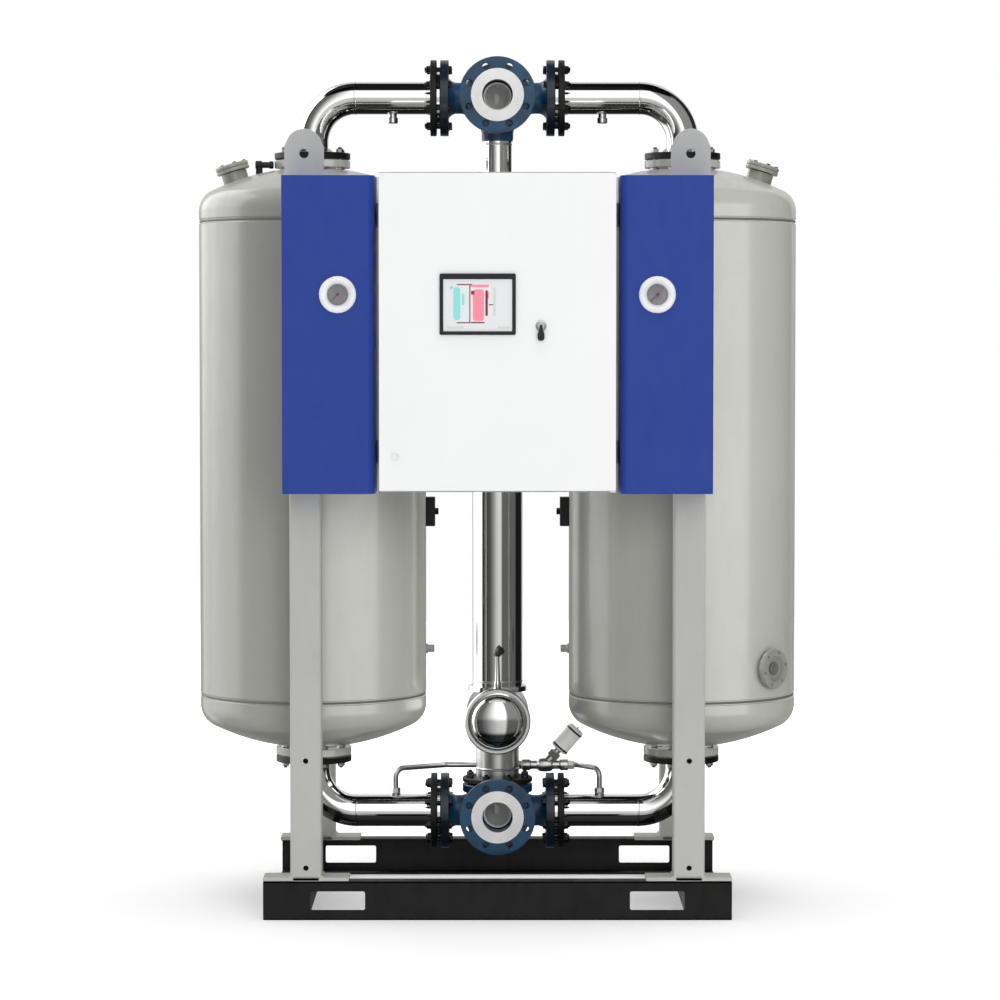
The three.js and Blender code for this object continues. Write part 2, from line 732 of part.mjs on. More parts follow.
function buildPipes() {
  const levels = [
    { level: "upper", z: PIPE.highZ, padZ: VESSEL.padHigh },
    { level: "lower", z: PIPE.lowZ, padZ: VESSEL.padLow },
  ];
  for (const { level, z, padZ } of levels) {
    for (const { side, sign } of SIDES) {
      const x = sign * VESSEL.x;
      const pipe = towerPipe(sign, z, padZ);
      const whole = level === "upper" ? union(pipe, pipeSocket(sign, z)) : pipe;
      addPiece(`${level}_pipe_${side}`, whole, FINISHES.stainless);

      const valveEnd = VALVE.sideFlangeOut + PIPE.valveStub + 2 * GAP;
      const fromX = sign > 0 ? valveEnd : -valveEnd - PIPE.flangeThick;
      const valveFlange = looseFlange("x", fromX, [0, 0, z]);
      addPiece(`${level}_valve_flange_${side}`, valveFlange, FINISHES.blackPaint);

      const padEnd = PIPE.padStub + 2 * GAP;
      const fromZ = level === "upper" ? padZ + padEnd : padZ - padEnd - PIPE.flangeThick;
      const vesselFlange = looseFlange("z", fromZ, [x, 0, 0]);
      addPiece(`${level}_vessel_flange_${side}`, vesselFlange, FINISHES.blackPaint);
    }
  }
}

// ---------------------------------------------------------------- heater column
// A drum lying along Y, with a neck down to the lower valve and a nozzle up to the heater.
function heaterHeader() {
  const { z, radius, wall, frontY, rearY, collar, top } = HEADER;
  const neck = HEADER_NECK;
  const at = [0, 0, z];
  const valveTop = PIPE.lowZ + VALVE.crown.end + GAP;
  const outer = union(
    bar("y", radius, frontY, rearY, at, 24),
    bar("y", HEADER_RIM.radius, frontY, frontY + HEADER_RIM.depth, at, 24),
    bar("z", collar, z, top, [0, 0, 0], 20),
    bar("z", neck.radius, valveTop, z, [0, 0, 0], 16),
    bar("z", neck.stub, valveTop, valveTop + neck.stubThick, [0, 0, 0], 16),
  );
  const drumBore = bar("y", radius - wall, frontY - 1, rearY - wall, at, 24);
  const neckBore = bar("z", neck.bore, valveTop - 1, z, [0, 0, 0], 16);
  const nozzleBore = bar("z", HEATER.radius - HEATER.wall, z, top + 1, [0, 0, 0], 16);
  return cut(outer, drumBore, neckBore, nozzleBore);
}

// A domed cover with a flat rim, turned to face forwards.
function headerCap() {
  const { rim, rimThick, dome, rise } = HEADER_CAP;
  const steps = 4;
  const profile = [[0, 0], [rim, 0], [rim, rimThick], [dome, rimThick]];
  for (let k = 1; k <= steps; k++) {
    const angle = (Math.PI / 2) * (k / steps);
    profile.push([dome * Math.cos(angle), rimThick + rise * Math.sin(angle)]);
  }
  const geometry = geometryOf(turned(profile, [0, 0, 0], 20));
  geometry.rotateX(Math.PI / 2);
  geometry.translate(0, HEADER.frontY - GAP, HEADER.z);
  return solid(geometry);
}

function heaterShell() {
  const { radius, wall, low, shoulder, top } = HEATER;
  const neck = RISER.radius;
  const profile = [
    [radius - wall, low], [radius, low], [radius, shoulder], [neck, top],
    [neck - wall, top], [radius - wall, shoulder], [radius - wall, low],
  ];
  return turned(profile, [0, 0, 0], 24);
}

// Heating rods that stand on a perforated foot plate inside the shell.
function heaterElement() {
  const { circle, rod, rodLow, rodTop } = ELEMENT;
  const foot = ring("z", ELEMENT.foot, ELEMENT.footHole, ELEMENT.footLow, ELEMENT.footTop);
  const rods = Array.from({ length: ELEMENT.rods }, (_, k) => {
    const angle = (2 * Math.PI * k) / ELEMENT.rods;
    const at = [circle * Math.cos(angle), circle * Math.sin(angle), 0];
    return bar("z", rod, rodLow, rodTop, at, 8);
  });
  return union(foot, ...rods);
}

function buildHeater() {
  addPiece("heater_header", heaterHeader(), FINISHES.stainless);
  addPiece("header_cap", headerCap(), FINISHES.stainless);
  addPiece("heater_shell", heaterShell(), FINISHES.stainless);
  addPiece("heater_element", heaterElement(), FINISHES.zinc);
  const riserTop = PIPE.highZ - VALVE.spout.end - GAP;
  const riserLow = HEATER.top + GAP;
  const riser = ring("z", RISER.radius, RISER.radius - RISER.wall, riserLow, riserTop);
  addPiece("regeneration_riser", riser, FINISHES.stainless);
}

// ---------------------------------------------------------------- equalising line
function equalisingTube(sign) {
  const { x, y, z, radius, bend, turnX } = TUBE;
  const start = PIPE.lowZ + PIPE.radius + GAP;
  const nearEnd = sign < 0 ? ANGLE_VALVE.x - ANGLE_VALVE.half : ANGLE_VALVE.x + ANGLE_VALVE.half;
  const corners = [
    [sign * x, 0, start],
    [sign * x, 0, z],
    [sign < 0 ? turnX.left : turnX.right, y, z],
    [nearEnd + sign * GAP, y, z],
  ];
  return tubeAlong(corners, bend, radius, 0, 10, 3);
}

// Moves a piece made along +Z so that it stands on the angle valve's seat and leans to the right.
function leanOverSeat(body) {
  const geometry = geometryOf(body);
  geometry.rotateY(THREE.MathUtils.degToRad(90 - ANGLE_VALVE.tilt));
  geometry.translate(ANGLE_VALVE.x, TUBE.y, TUBE.z);
  return solid(geometry);
}

function angleValveBody() {
  const { x, half, bonnet, top, radius, wall, run, middle, nut, bonnetNut, seat } = ANGLE_VALVE;
  const at = [0, TUBE.y, TUBE.z];
  const straight = union(
    bar("x", run, x - half, x + half, at, 12),
    bar("x", nut.radius, x - half, x - half + nut.length, at, 6),
    bar("x", nut.radius, x + half - nut.length, x + half, at, 6),
    bar("x", middle.radius, x - middle.half, x + middle.half, at, 12),
  );
  const lean = leanOverSeat(
    union(
      bar("z", run, 0, bonnet, [0, 0, 0], 12),
      bar("z", bonnetNut.radius, bonnetNut.from, bonnetNut.to, [0, 0, 0], 6),
      bar("z", radius, bonnet, top, [0, 0, 0], 20),
    ),
  );
  const bores = leanOverSeat(
    union(
      bar("z", seat.radius, seat.from, seat.to, [0, 0, 0], 12),
      bar("z", ANGLE_VALVE.stemHole, 0, top + 1, [0, 0, 0], 12),
      bar("z", radius - wall, bonnet + wall, top - wall, [0, 0, 0], 20),
    ),
  );
  const flow = bar("x", ANGLE_VALVE.flow, x - half - 1, x + half + 1, at, 8);
  return cut(union(straight, lean), bores, flow);
}

// The closing plug, its stem, the piston inside the cylinder and the pointer that shows above it.
function angleValveStem() {
  const { radius, from, to, plug, piston } = ANGLE_STEM;
  return leanOverSeat(
    union(
      bar("z", radius, from, to, [0, 0, 0], 10),
      bar("z", plug.radius, plug.from, plug.to, [0, 0, 0], 12),
      bar("z", piston.radius, piston.from, piston.to, [0, 0, 0], 20),
    ),
  );
}

function buildEqualisingLine() {
  for (const { side, sign } of SIDES) {
    addPiece(`equalising_tube_${side}`, equalisingTube(sign), FINISHES.stainless);
  }
  addPiece("angle_valve_body", angleValveBody(), FINISHES.stainless);
  addPiece("angle_valve_stem", angleValveStem(), FINISHES.stainless);
}

// ---------------------------------------------------------------- control cabinet
function cabinetShell() {
  const { halfWidth, low, high, backY, shellFrontY, sheet, lip, doorFrontY } = CABINET;
  const outer = box([-halfWidth, shellFrontY, low], [halfWidth, backY, high]);
  const room = box(
    [-halfWidth + sheet, shellFrontY + sheet, low + sheet],
    [halfWidth - sheet, backY - sheet, high - sheet],
  );
  const mouth = box(
    [-halfWidth + lip, shellFrontY - 1, low + lip],
    [halfWidth - lip, shellFrontY + sheet + 1, high - lip],
  );
  const tabs = [[high - HINGE.tab, high], [low, low + HINGE.tab]].map(([from, to]) =>
    box([HINGE.x - HINGE.tabHalf, doorFrontY, from], [halfWidth, shellFrontY + 1, to]),
  );
  const { pin, pinFrom, pinTo } = HINGE;
  const at = [HINGE.x, HINGE.y, 0];
  const pinTop = bar("z", pin, high - pinTo, high - pinFrom, at, 12);
  const pinLow = bar("z", pin, low + pinFrom, low + pinTo, at, 12);
  return union(cut(outer, room, mouth), ...tabs, pinTop, pinLow);
}

// A tray of folded sheet, with the screen's cut-out, the lock holes and the holes for the hinge pins.
function cabinetDoor() {
  const { doorFrontY, doorBackY, sheet } = CABINET;
  const { half, low, high } = DOOR;
  const tray = cut(
    box([-half, doorFrontY, low], [half, doorBackY, high]),
    box([-half + sheet, doorFrontY + sheet, low + sheet], [half - sheet, doorBackY + 1, high - sheet]),
  );
  const halfHoleW = HMI.width / 2 - HMI.overlap;
  const halfHoleH = HMI.height / 2 - HMI.overlap;
  const screenHole = box(
    [HMI.x - halfHoleW, doorFrontY - 1, HMI.z - halfHoleH],
    [HMI.x + halfHoleW, doorFrontY + sheet + 1, HMI.z + halfHoleH],
  );
  const switchAt = [SWITCH.x, 0, SWITCH.z];
  const bezelFront = doorFrontY - SWITCH.bezelThick;
  const bezel = bar("y", SWITCH.bezel, bezelFront, doorFrontY + 1, switchAt, 20);
  const bores = [
    bar("y", SWITCH.hole, bezelFront - 1, doorBackY, switchAt, 14),
    bar("y", LATCH.hole, doorFrontY - 1, doorBackY, [LATCH.x, 0, LATCH.z], 14),
    bar("z", HINGE.hole, low - 1, high + 1, [HINGE.x, HINGE.y, 0], 12),
  ];
  return cut(union(tray, bezel), screenHole, ...bores);
}

function operatorPanel() {
  const front = CABINET.doorFrontY - GAP;
  const halfW = HMI.width / 2;
  const halfH = HMI.height / 2;
  const frame = box(
    [HMI.x - halfW, front - HMI.frame, HMI.z - halfH],
    [HMI.x + halfW, front, HMI.z + halfH],
  );
  const { border, topBorder } = HMI;
  const recess = box(
    [HMI.x - halfW + border, front - HMI.frame - 1, HMI.z - halfH + border],
    [HMI.x + halfW - border, front - HMI.frame + HMI.recess, HMI.z + halfH - topBorder],
  );
  const inset = HMI.overlap + HMI.play;
  const housing = box(
    [HMI.x - halfW + inset, front - 1, HMI.z - halfH + inset],
    [HMI.x + halfW - inset, front + HMI.depth, HMI.z + halfH - inset],
  );
  return cut(union(frame, housing), recess);
}

// A rotary handle that hangs down from its round hub, on a barrel through the door.
function keySwitch() {
  const { x, z, handle: grip } = SWITCH;
  const { doorFrontY, doorBackY } = CABINET;
  const back = doorFrontY - SWITCH.bezelThick - 0.5;
  const hub = bar("y", SWITCH.hub, back - SWITCH.hubThick, back, [x, 0, z], 14);
  const barrel = bar("y", SWITCH.barrel, back - 1, doorBackY + 4, [x, 0, z], 14);
  const handle = box(
    [x - grip.half, back - grip.front, z - grip.below],
    [x + grip.half, back - 1, z + grip.above],
  );
  return union(hub, barrel, handle);
}

// A quarter-turn lock with a flush insert outside and a cam inside, shown unlocked with the cam down.
function doorLatch() {
  const { x, z, cam, slot, insertThick } = LATCH;
  const front = CABINET.doorFrontY - GAP;
  const insert = bar("y", LATCH.insert, front - insertThick, front, [x, 0, z], 14);
  const slotFloor = front - insertThick + slot.depth;
  const keyway = box(
    [x - slot.half, front - insertThick - 1, z - slot.reach],
    [x + slot.half, slotFloor, z + slot.reach],
  );
  const barrel = bar("y", LATCH.barrel, front - 1, cam.back, [x, 0, z], 14);
  const tongue = box([x - cam.half, cam.front, z - cam.below], [x + cam.half, cam.back, z + cam.above]);
  return union(cut(insert, keyway), barrel, tongue);
}

function mountingPlate() {
  const { half, low, high, front, back } = MOUNTING_PLATE;
  const wall = CABINET.backY - CABINET.sheet - GAP;
  const plate = box([-half, wall - front, low], [half, wall - back, high]);
  const studs = SIDES.flatMap(({ sign }) =>
    STUD.heights.map((z) => bar("y", STUD.radius, wall - front + 1, wall, [sign * STUD.x, 0, z], 8)),
  );
  return union(plate, ...studs);
}

function controller() {
  const { left, right, low, step, high, depth, stepDepth } = CONTROLLER;
  const back = CABINET.backY - CABINET.sheet - GAP - MOUNTING_PLATE.front - GAP;
  const housing = box([left, back - depth, step], [right, back, high]);
  const terminals = box([left, back - stepDepth, low], [right, back, step + 1]);
  return union(housing, terminals);
}

function buildCabinet() {
  addPiece("cabinet_shell", cabinetShell(), FINISHES.whitePaint);
  addPiece("cabinet_door", cabinetDoor(), FINISHES.whitePaint);
  addPiece("operator_panel", operatorPanel(), FINISHES.darkPlastic);
  addPiece("key_switch", keySwitch(), FINISHES.darkPlastic);
  addPiece("door_latch", doorLatch(), FINISHES.darkPlastic);
  addPiece("mounting_plate", mountingPlate(), FINISHES.zinc);
  addPiece("controller", controller(), FINISHES.darkPlastic);
}

// ---------------------------------------------------------------- side panels and gauges
// The outline of a panel seen from above, as a folded sheet that is open at the back.
function panelOutline(sheetIn) {
  const left = PANEL.inner + sheetIn;
  const right = PANEL.outer - sheetIn;
  const front = PANEL.frontY + sheetIn;
  const back = CABINET.backY + (sheetIn ? 1 : 0);
  const bend = PANEL.bend - sheetIn;
  const outline = new THREE.Shape();
  outline.moveTo(right, back);
  outline.lineTo(left, back);
  outline.lineTo(left, front + bend);
  outline.absarc(left + bend, front + bend, bend, Math.PI, 1.5 * Math.PI);
  outline.lineTo(right, front);
  return outline;
}

function sidePanel(sign) {
  const { low, high, sheet } = PANEL;
  const layer = (sheetIn, from, to) => {
    const geometry = new THREE.ExtrudeGeometry(panelOutline(sheetIn), {
      depth: to - from,
      bevelEnabled: false,
      curveSegments: 4,
    });
    geometry.translate(0, 0, from);
    return solid(geometry);
  };
  const hole = bar("y", GAUGE.can + 1, PANEL.frontY - 5, PANEL.frontY + 5, [GAUGE.x, 0, GAUGE.z]);
  const body = cut(layer(0, low, high), layer(sheet, low + sheet, high - sheet), hole);
  if (sign > 0) return body;
  const geometry = geometryOf(body);
  geometry.scale(-1, 1, 1);
  const corners = geometry.index.array;
  for (let i = 0; i < corners.length; i += 3) {
    [corners[i + 1], corners[i + 2]] = [corners[i + 2], corners[i + 1]];
  }
  return solid(geometry);
}

// Turns a piece made along +Z to face forwards on the panel, with z = 0 on the panel's skin.
function onPanel(sign, body) {
  const geometry = geometryOf(body);
  geometry.rotateX(Math.PI / 2);
  geometry.translate(sign * GAUGE.x, PANEL.frontY - GAP, GAUGE.z);
  return solid(geometry);
}

function gaugeCase() {
  const { radius, bezel, shoulder, can, canDepth, dial, dialHeight, socket, socketDepth } = GAUGE;
  const profile = [
    [0, -canDepth], [can, -canDepth], [can, 0], [radius, 0], [radius, shoulder],
    [radius - bezel + shoulder, bezel], [dial, bezel], [dial, dialHeight],
    [socket, dialHeight], [socket, -socketDepth], [0, -socketDepth],
  ];
  return turned(profile, [0, 0, 0], 18);
}

// The pointer at rest stands at zero, low on the left of its dial.
function gaugeNeedle() {
  const hub = bar("z", NEEDLE.hub.radius, NEEDLE.hub.from, NEEDLE.hub.to, [0, 0, 0], 12);
  const shaft = bar("z", NEEDLE.shaft.radius, NEEDLE.shaft.from, NEEDLE.shaft.to, [0, 0, 0], 8);
  const { length, width, thick, middle, height, rest } = NEEDLE.pointer;
  const pointer = new THREE.BoxGeometry(length, width, thick);
  pointer.translate(middle, 0, height);
  pointer.rotateZ(THREE.MathUtils.degToRad(rest));
  return union(hub, shaft, solid(pointer));
}

function buildPanels() {
  for (const { side, sign } of SIDES) {
    addPiece(`side_panel_${side}`, sidePanel(sign), FINISHES.bluePaint);
    addPiece(`pressure_gauge_${side}`, onPanel(sign, gaugeCase()), FINISHES.whitePlastic);
    addPiece(`gauge_needle_${side}`, onPanel(sign, gaugeNeedle()), FINISHES.redNeedle);
  }
}

buildSkid();
buildTowers();
buildValves();
buildPipes();
buildHeater();
buildEqualisingLine();
buildCabinet();
buildPanels();

export default dryer;
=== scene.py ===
import json
import math

import bmesh
import bpy
from mathutils import Matrix, Vector

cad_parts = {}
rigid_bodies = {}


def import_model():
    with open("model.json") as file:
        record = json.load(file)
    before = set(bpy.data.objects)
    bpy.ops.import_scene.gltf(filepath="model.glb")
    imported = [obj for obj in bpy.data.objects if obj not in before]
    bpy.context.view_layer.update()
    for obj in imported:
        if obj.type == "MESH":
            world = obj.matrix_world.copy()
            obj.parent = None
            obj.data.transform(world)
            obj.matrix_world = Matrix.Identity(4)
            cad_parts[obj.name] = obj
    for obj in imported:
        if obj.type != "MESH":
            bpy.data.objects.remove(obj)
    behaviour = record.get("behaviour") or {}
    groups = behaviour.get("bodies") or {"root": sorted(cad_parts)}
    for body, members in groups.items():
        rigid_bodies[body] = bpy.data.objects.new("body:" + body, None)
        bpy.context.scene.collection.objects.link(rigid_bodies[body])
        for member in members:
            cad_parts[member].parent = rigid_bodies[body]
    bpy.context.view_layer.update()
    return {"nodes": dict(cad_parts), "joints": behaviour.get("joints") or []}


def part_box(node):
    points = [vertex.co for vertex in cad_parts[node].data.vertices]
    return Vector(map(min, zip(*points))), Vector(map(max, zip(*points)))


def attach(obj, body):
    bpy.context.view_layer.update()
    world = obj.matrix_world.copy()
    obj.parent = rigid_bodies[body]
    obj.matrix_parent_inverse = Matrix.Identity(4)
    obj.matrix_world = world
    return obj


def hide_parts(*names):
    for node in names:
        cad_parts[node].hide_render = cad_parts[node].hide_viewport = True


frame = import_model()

MM = 0.001
TAU = 2 * math.pi
JOINTS = {joint["name"]: joint for joint in frame["joints"]}


def millimetres(point):
    return Vector(point) / MM


def corners(node):
    low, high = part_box(node)
    return millimetres(low), millimetres(high)


def middle(node):
    low, high = corners(node)
    return (low + high) / 2


UPPER = millimetres(JOINTS["upper_rotor_turn"]["pos_m"])
LOWER = millimetres(JOINTS["lower_rotor_turn"]["pos_m"])
TOWER_Y = UPPER.y
TOWER_X = middle("bed_screen_right").x
SIDES = {"left": -1, "right": 1}
ENDS = {"front": -1, "rear": 1}


# ------------------------------------------------------------------ shapes
FACING = {
    "up": Matrix(((1, 0, 0), (0, 1, 0), (0, 0, 1))).transposed().to_4x4(),
    "front": Matrix(((1, 0, 0), (0, 0, 1), (0, -1, 0))).transposed().to_4x4(),
    "right": Matrix(((0, 1, 0), (0, 0, 1), (1, 0, 0))).transposed().to_4x4(),
}
AXIS_FACING = {"x": "right", "y": "front", "z": "up"}


def along_axis(direction):
    return Vector(direction).to_track_quat("Z", "Y").to_matrix().to_4x4()


def joined(*parts):
    """Several bodies in one mesh."""
    whole = bmesh.new()
    for part in parts:
        carrier = bpy.data.meshes.new("carrier")
        part.to_mesh(carrier)
        part.free()
        whole.from_mesh(carrier)
        bpy.data.meshes.remove(carrier)
    return whole


def placed(part, matrix):
    part.transform(matrix)
    return part


def revolve(profile, at=(0, 0, 0), direction=(0, 0, 1), steps=96):
    """A body of revolution from [(radius, height)], closed on itself or ending on the axis."""
    part = bmesh.new()
    rings = []
    for radius, height in profile:
        if radius == 0:
            rings.append([part.verts.new((0, 0, height))])
            continue
        rings.append([
            part.verts.new((radius * math.cos(TAU * k / steps), radius * math.sin(TAU * k / steps), height))
            for k in range(steps)
        ])
    pairs = list(zip(rings, rings[1:]))
    if profile[0][0] or profile[-1][0]:
        pairs.append((rings[-1], rings[0]))
    for lower, upper in pairs:
        for k in range(steps):
            n = (k + 1) % steps
            loop = [lower[k % len(lower)], lower[n % len(lower)], upper[n % len(upper)],
                upper[k % len(upper)]]
            loop = list(dict.fromkeys(loop))
            if len(loop) > 2:
                part.faces.new(loop)
    return placed(part, Matrix.Translation(Vector(at)) @ along_axis(direction))


def disc(radius, thick, at=(0, 0, 0), direction=(0, 0, 1), edge=1.0, hole=0, steps=64):
    """A round plate with eased edges, from `at` along `direction`, with an optional round hole."""
    outside = [(radius - edge, 0), (radius, edge), (radius, thick - edge), (radius - edge, thick)]
    if hole:
        inside = [(hole + edge, thick), (hole, thick - edge), (hole, edge), (hole + edge, 0)]
        return revolve(outside + inside, at, direction, steps)
    return revolve([(0, 0)] + outside + [(0, thick)], at, direction, steps)


def stations(points, bend, bend_steps):
    """Points along straight runs joined by round bends."""
    points = [Vector(p) for p in points]
    found = [points[0]]
    for before, here, after in zip(points, points[1:], points[2:]):
        into = (here - before).normalized()
        out = (after - here).normalized()
        angle = into.angle(out)
        reach = bend * math.tan(angle / 2)
        start = here - into * reach
        inward = (out - into * into.dot(out)).normalized()
        centre = start + inward * bend
        for k in range(bend_steps + 1):
            turn = angle * k / bend_steps
            found.append(centre - inward * bend * math.cos(turn) + into * bend * math.sin(turn))
    return found + [points[-1]]


def tube(points, bend, outer, inner=0, steps=48, bend_steps=18):
    """A round bar or pipe along a bent route."""
    route = stations(points, bend, bend_steps)
    part = bmesh.new()
    radii = [outer, inner] if inner else [outer]
    walls = {radius: [] for radius in radii}
    tangent = (route[1] - route[0]).normalized()
    side = tangent.orthogonal().normalized()
    for i, here in enumerate(route):
        into = (here - route[i - 1]).normalized() if i else tangent
        out = (route[i + 1] - here).normalized() if i < len(route) - 1 else into
        tangent = (into + out).normalized()
        side = (side - tangent * side.dot(tangent)).normalized()
        other = tangent.cross(side)
        for radius in radii:
            ring = []
            for k in range(steps):
                outward = side * math.cos(TAU * k / steps) + other * math.sin(TAU * k / steps)
                ring.append(part.verts.new(here + outward * radius))
            walls[radius].append(ring)
    for rings in walls.values():
        for first, second in zip(rings, rings[1:]):
            for k in range(steps):
                n = (k + 1) % steps
                part.faces.new((first[k], first[n], second[n], second[k]))
    for end in (0, -1):
        if inner:
            for k in range(steps):
                n = (k + 1) % steps
                part.faces.new((walls[outer][end][k], walls[outer][end][n], walls[inner][end][n],
                    walls[inner][end][k]))
        else:
            part.faces.new(walls[outer][end])
    return part


def slab(low, high, ease=1.0, steps=2):
    """A block with rounded edges."""
    low, high = Vector(low), Vector(high)
    part = bmesh.new()
    bmesh.ops.create_cube(part, size=1)
    size = high - low
    part.transform(Matrix.Translation((low + high) / 2) @ Matrix.Diagonal((*size, 1)))
    if ease:
        bmesh.ops.bevel(part, geom=part.edges[:], offset=ease, segments=steps, profile=0.5, affect="EDGES")
    return part


def circle(x, y, radius, steps=48, start=0.0):
    return [
        (x + radius * math.cos(start + TAU * k / steps), y + radius * math.sin(start + TAU * k / steps))
        for k in range(steps)
    ]


def rounded(x0, y0, x1, y1, radius, steps=6):
    """A rectangle with round corners, as an outline."""
    outline = []
    centres = [(x1 - radius, y1 - radius), (x0 + radius, y1 - radius), (x0 + radius, y0 + radius),
        (x1 - radius, y0 + radius)]
    for quarter, (x, y) in enumerate(centres):
        for k in range(steps + 1):
            angle = math.pi / 2 * (quarter + k / steps)
            outline.append((x + radius * math.cos(angle), y + radius * math.sin(angle)))
    return outline


def plate(outline, thick, at=(0, 0, 0), facing="front", holes=(), ease=0.8):
    """A flat outline with holes, `thick` deep, its front face centred on `at` and its edges eased."""
    curve = bpy.data.curves.new("outline", "CURVE")
    curve.dimensions = "2D"
    curve.fill_mode = "BOTH"
    curve.extrude = thick / 2 - ease
    curve.bevel_depth = ease
    curve.bevel_resolution = 1
    curve.offset = -ease
    for loop in (outline, *holes):
        spline = curve.splines.new("POLY")
        spline.points.add(len(loop) - 1)
        for point, (x, y) in zip(spline.points, loop):
            point.co = (x, y, 0, 1)
        spline.use_cyclic_u = True
    carrier = bpy.data.objects.new("outline", curve)
    bpy.context.scene.collection.objects.link(carrier)
    mesh = bpy.data.meshes.new_from_object(carrier.evaluated_get(bpy.context.evaluated_depsgraph_get()))
    part = bmesh.new()
    part.from_mesh(mesh)
    bpy.data.objects.remove(carrier)
    bpy.data.curves.remove(curve)
    bpy.data.meshes.remove(mesh)
    bmesh.ops.remove_doubles(part, verts=part.verts, dist=0.002)
    part.transform(Matrix.Translation(Vector(at)) @ FACING[facing] @ Matrix.Translation((0, 0, -thick / 2)))
    return part


def carved(part, *cutters):
    """A body with other bodies cut out of it."""
    objects = []
    for shape in (part, joined(*cutters)):
        bmesh.ops.recalc_face_normals(shape, faces=shape.faces)
        mesh = bpy.data.meshes.new("carving")
        shape.to_mesh(mesh)
        shape.free()
        objects.append(bpy.data.objects.new("carving", mesh))
        bpy.context.scene.collection.objects.link(objects[-1])
    body, knife = objects
    boolean = body.modifiers.new("cut", "BOOLEAN")
    boolean.operation = "DIFFERENCE"
    boolean.solver = "EXACT"
    boolean.object = knife
    boolean.use_self = True
    bpy.context.view_layer.update()
    result = bpy.data.meshes.new_from_object(body.evaluated_get(bpy.context.evaluated_depsgraph_get()))
    out = bmesh.new()
    out.from_mesh(result)
    for made in objects:
        mesh = made.data
        bpy.data.objects.remove(made)
        bpy.data.meshes.remove(mesh)
    bpy.data.meshes.remove(result)
    return out


def hexagon(flats, thick, at, direction):
    """A nut or a bolt head with its corners taken off on top."""
    corner = flats / math.sqrt(3)
    profile = [(0, 0), (corner, 0), (corner, thick * 0.86), (corner * 0.88, thick), (0, thick)]
    return revolve(profile, at, direction, 6)


def bolt(at, direction, grip, size=16):
    """A bolt through `grip` mm of material, with washers, a nut and a few turns of thread beyond it."""
    at = Vector(at)
    direction = Vector(direction).normalized()
    radius = size / 2
    washer = size * 0.17
    far = at + direction * (grip + washer)
    end = far + direction * size * 0.8
    thread = [(0, 0)]
    for k in range(4):
        thread += [(radius * 0.86, k * size * 0.09), (radius * 0.98, (k + 0.5) * size * 0.09)]
    thread += [(radius * 0.8, size * 0.4), (0, size * 0.4)]
    return joined(
        disc(size * 0.94, washer, at - direction * washer, direction, 0.3, steps=24),
        hexagon(size * 1.5, size * 0.62, at - direction * washer, -direction),
        revolve([(0, 0), (radius * 0.96, 0), (radius * 0.96, grip), (0, grip)], at, direction, 16),
        disc(size * 0.94, washer, at + direction * grip, direction, 0.3, steps=24),
        hexagon(size * 1.5, size * 0.8, far, direction),
        revolve(thread, end, direction, 16),
    )


def on_circle(axis, centre, radius, count, start):
    """Points on a circle about x, y or z."""
    first, second = {"x": (1, 2), "y": (0, 2), "z": (0, 1)}[axis]
    for k in range(count):
        point = Vector(centre)
        point[first] += radius * math.cos(start + TAU * k / count)
        point[second] += radius * math.sin(start + TAU * k / count)
        yield point


# ------------------------------------------------------------------ materials
class Finish:
    """A procedural material on one of the record's slots."""

    def __init__(self, name, slot, **sockets):
        self.material = bpy.data.materials.new(name)
        self.material.use_nodes = True
        self.material["slot"] = slot
        self.tree = self.material.node_tree
        self.shader = self.tree.nodes["Principled BSDF"]
        for socket, value in sockets.items():
            self.shader.inputs[socket.replace("_", " ")].default_value = value

    def node(self, kind, **settings):
        made = self.tree.nodes.new(kind)
        for key, value in settings.items():
            setattr(made, key, value)
        return made

    def link(self, source, target):
        self.tree.links.new(source, target)

    def place(self, stretch=(1, 1, 1), shift=(0, 0, 0)):
        """Position on the piece at rest, in metres."""
        coordinates = self.node("ShaderNodeTexCoord")
        mapping = self.node("ShaderNodeMapping")
        mapping.inputs["Scale"].default_value = stretch
        mapping.inputs["Location"].default_value = shift
        self.link(coordinates.outputs["Object"], mapping.inputs["Vector"])
        return mapping.outputs["Vector"]

    def noise(self, scale, detail=3.0, stretch=(1, 1, 1), distortion=0.0):
        noise = self.node("ShaderNodeTexNoise")
        noise.inputs["Scale"].default_value = scale
        noise.inputs["Detail"].default_value = detail
        noise.inputs["Distortion"].default_value = distortion
        self.link(self.place(stretch), noise.inputs["Vector"])
        return noise.outputs["Fac"]

    def spread(self, value, low, high, start=0.3, stop=0.7):
        """A 0..1 pattern remapped to low..high between start and stop."""
        remap = self.node("ShaderNodeMapRange")
        for socket, number in zip(("From Min", "From Max", "To Min", "To Max"), (start, stop, low, high)):
            remap.inputs[socket].default_value = number
        self.link(value, remap.inputs["Value"])
        return remap.outputs["Result"]

    def blend(self, factor, first, second):
        mix = self.node("ShaderNodeMix", data_type="RGBA")
        for socket, value in (("A", first), ("B", second)):
            target = next(s for s in mix.inputs if s.name == socket and s.type == "RGBA")
            if isinstance(value, tuple):
                target.default_value = (*value, 1)
            else:
                self.link(value, target)
        self.link(factor, mix.inputs[0])
        return next(s for s in mix.outputs if s.type == "RGBA")

    def colour(self, value):
        self.link(value, self.shader.inputs["Base Color"])

    def roughness(self, value):
        self.link(value, self.shader.inputs["Roughness"])

    def bump(self, *layers):
        """layers are (height pattern, depth in metres); they add up."""
        normal = None
        for height, depth in layers:
            bump = self.node("ShaderNodeBump")
            bump.inputs["Strength"].default_value = 1.0
            bump.inputs["Distance"].default_value = depth
            self.link(height, bump.inputs["Height"])
            if normal is not None:
                self.link(normal, bump.inputs["Normal"])
            normal = bump.outputs["Normal"]
        self.link(normal, self.shader.inputs["Normal"])


def shade(colour, factor):
    return tuple(min(1.0, c * factor) for c in colour)


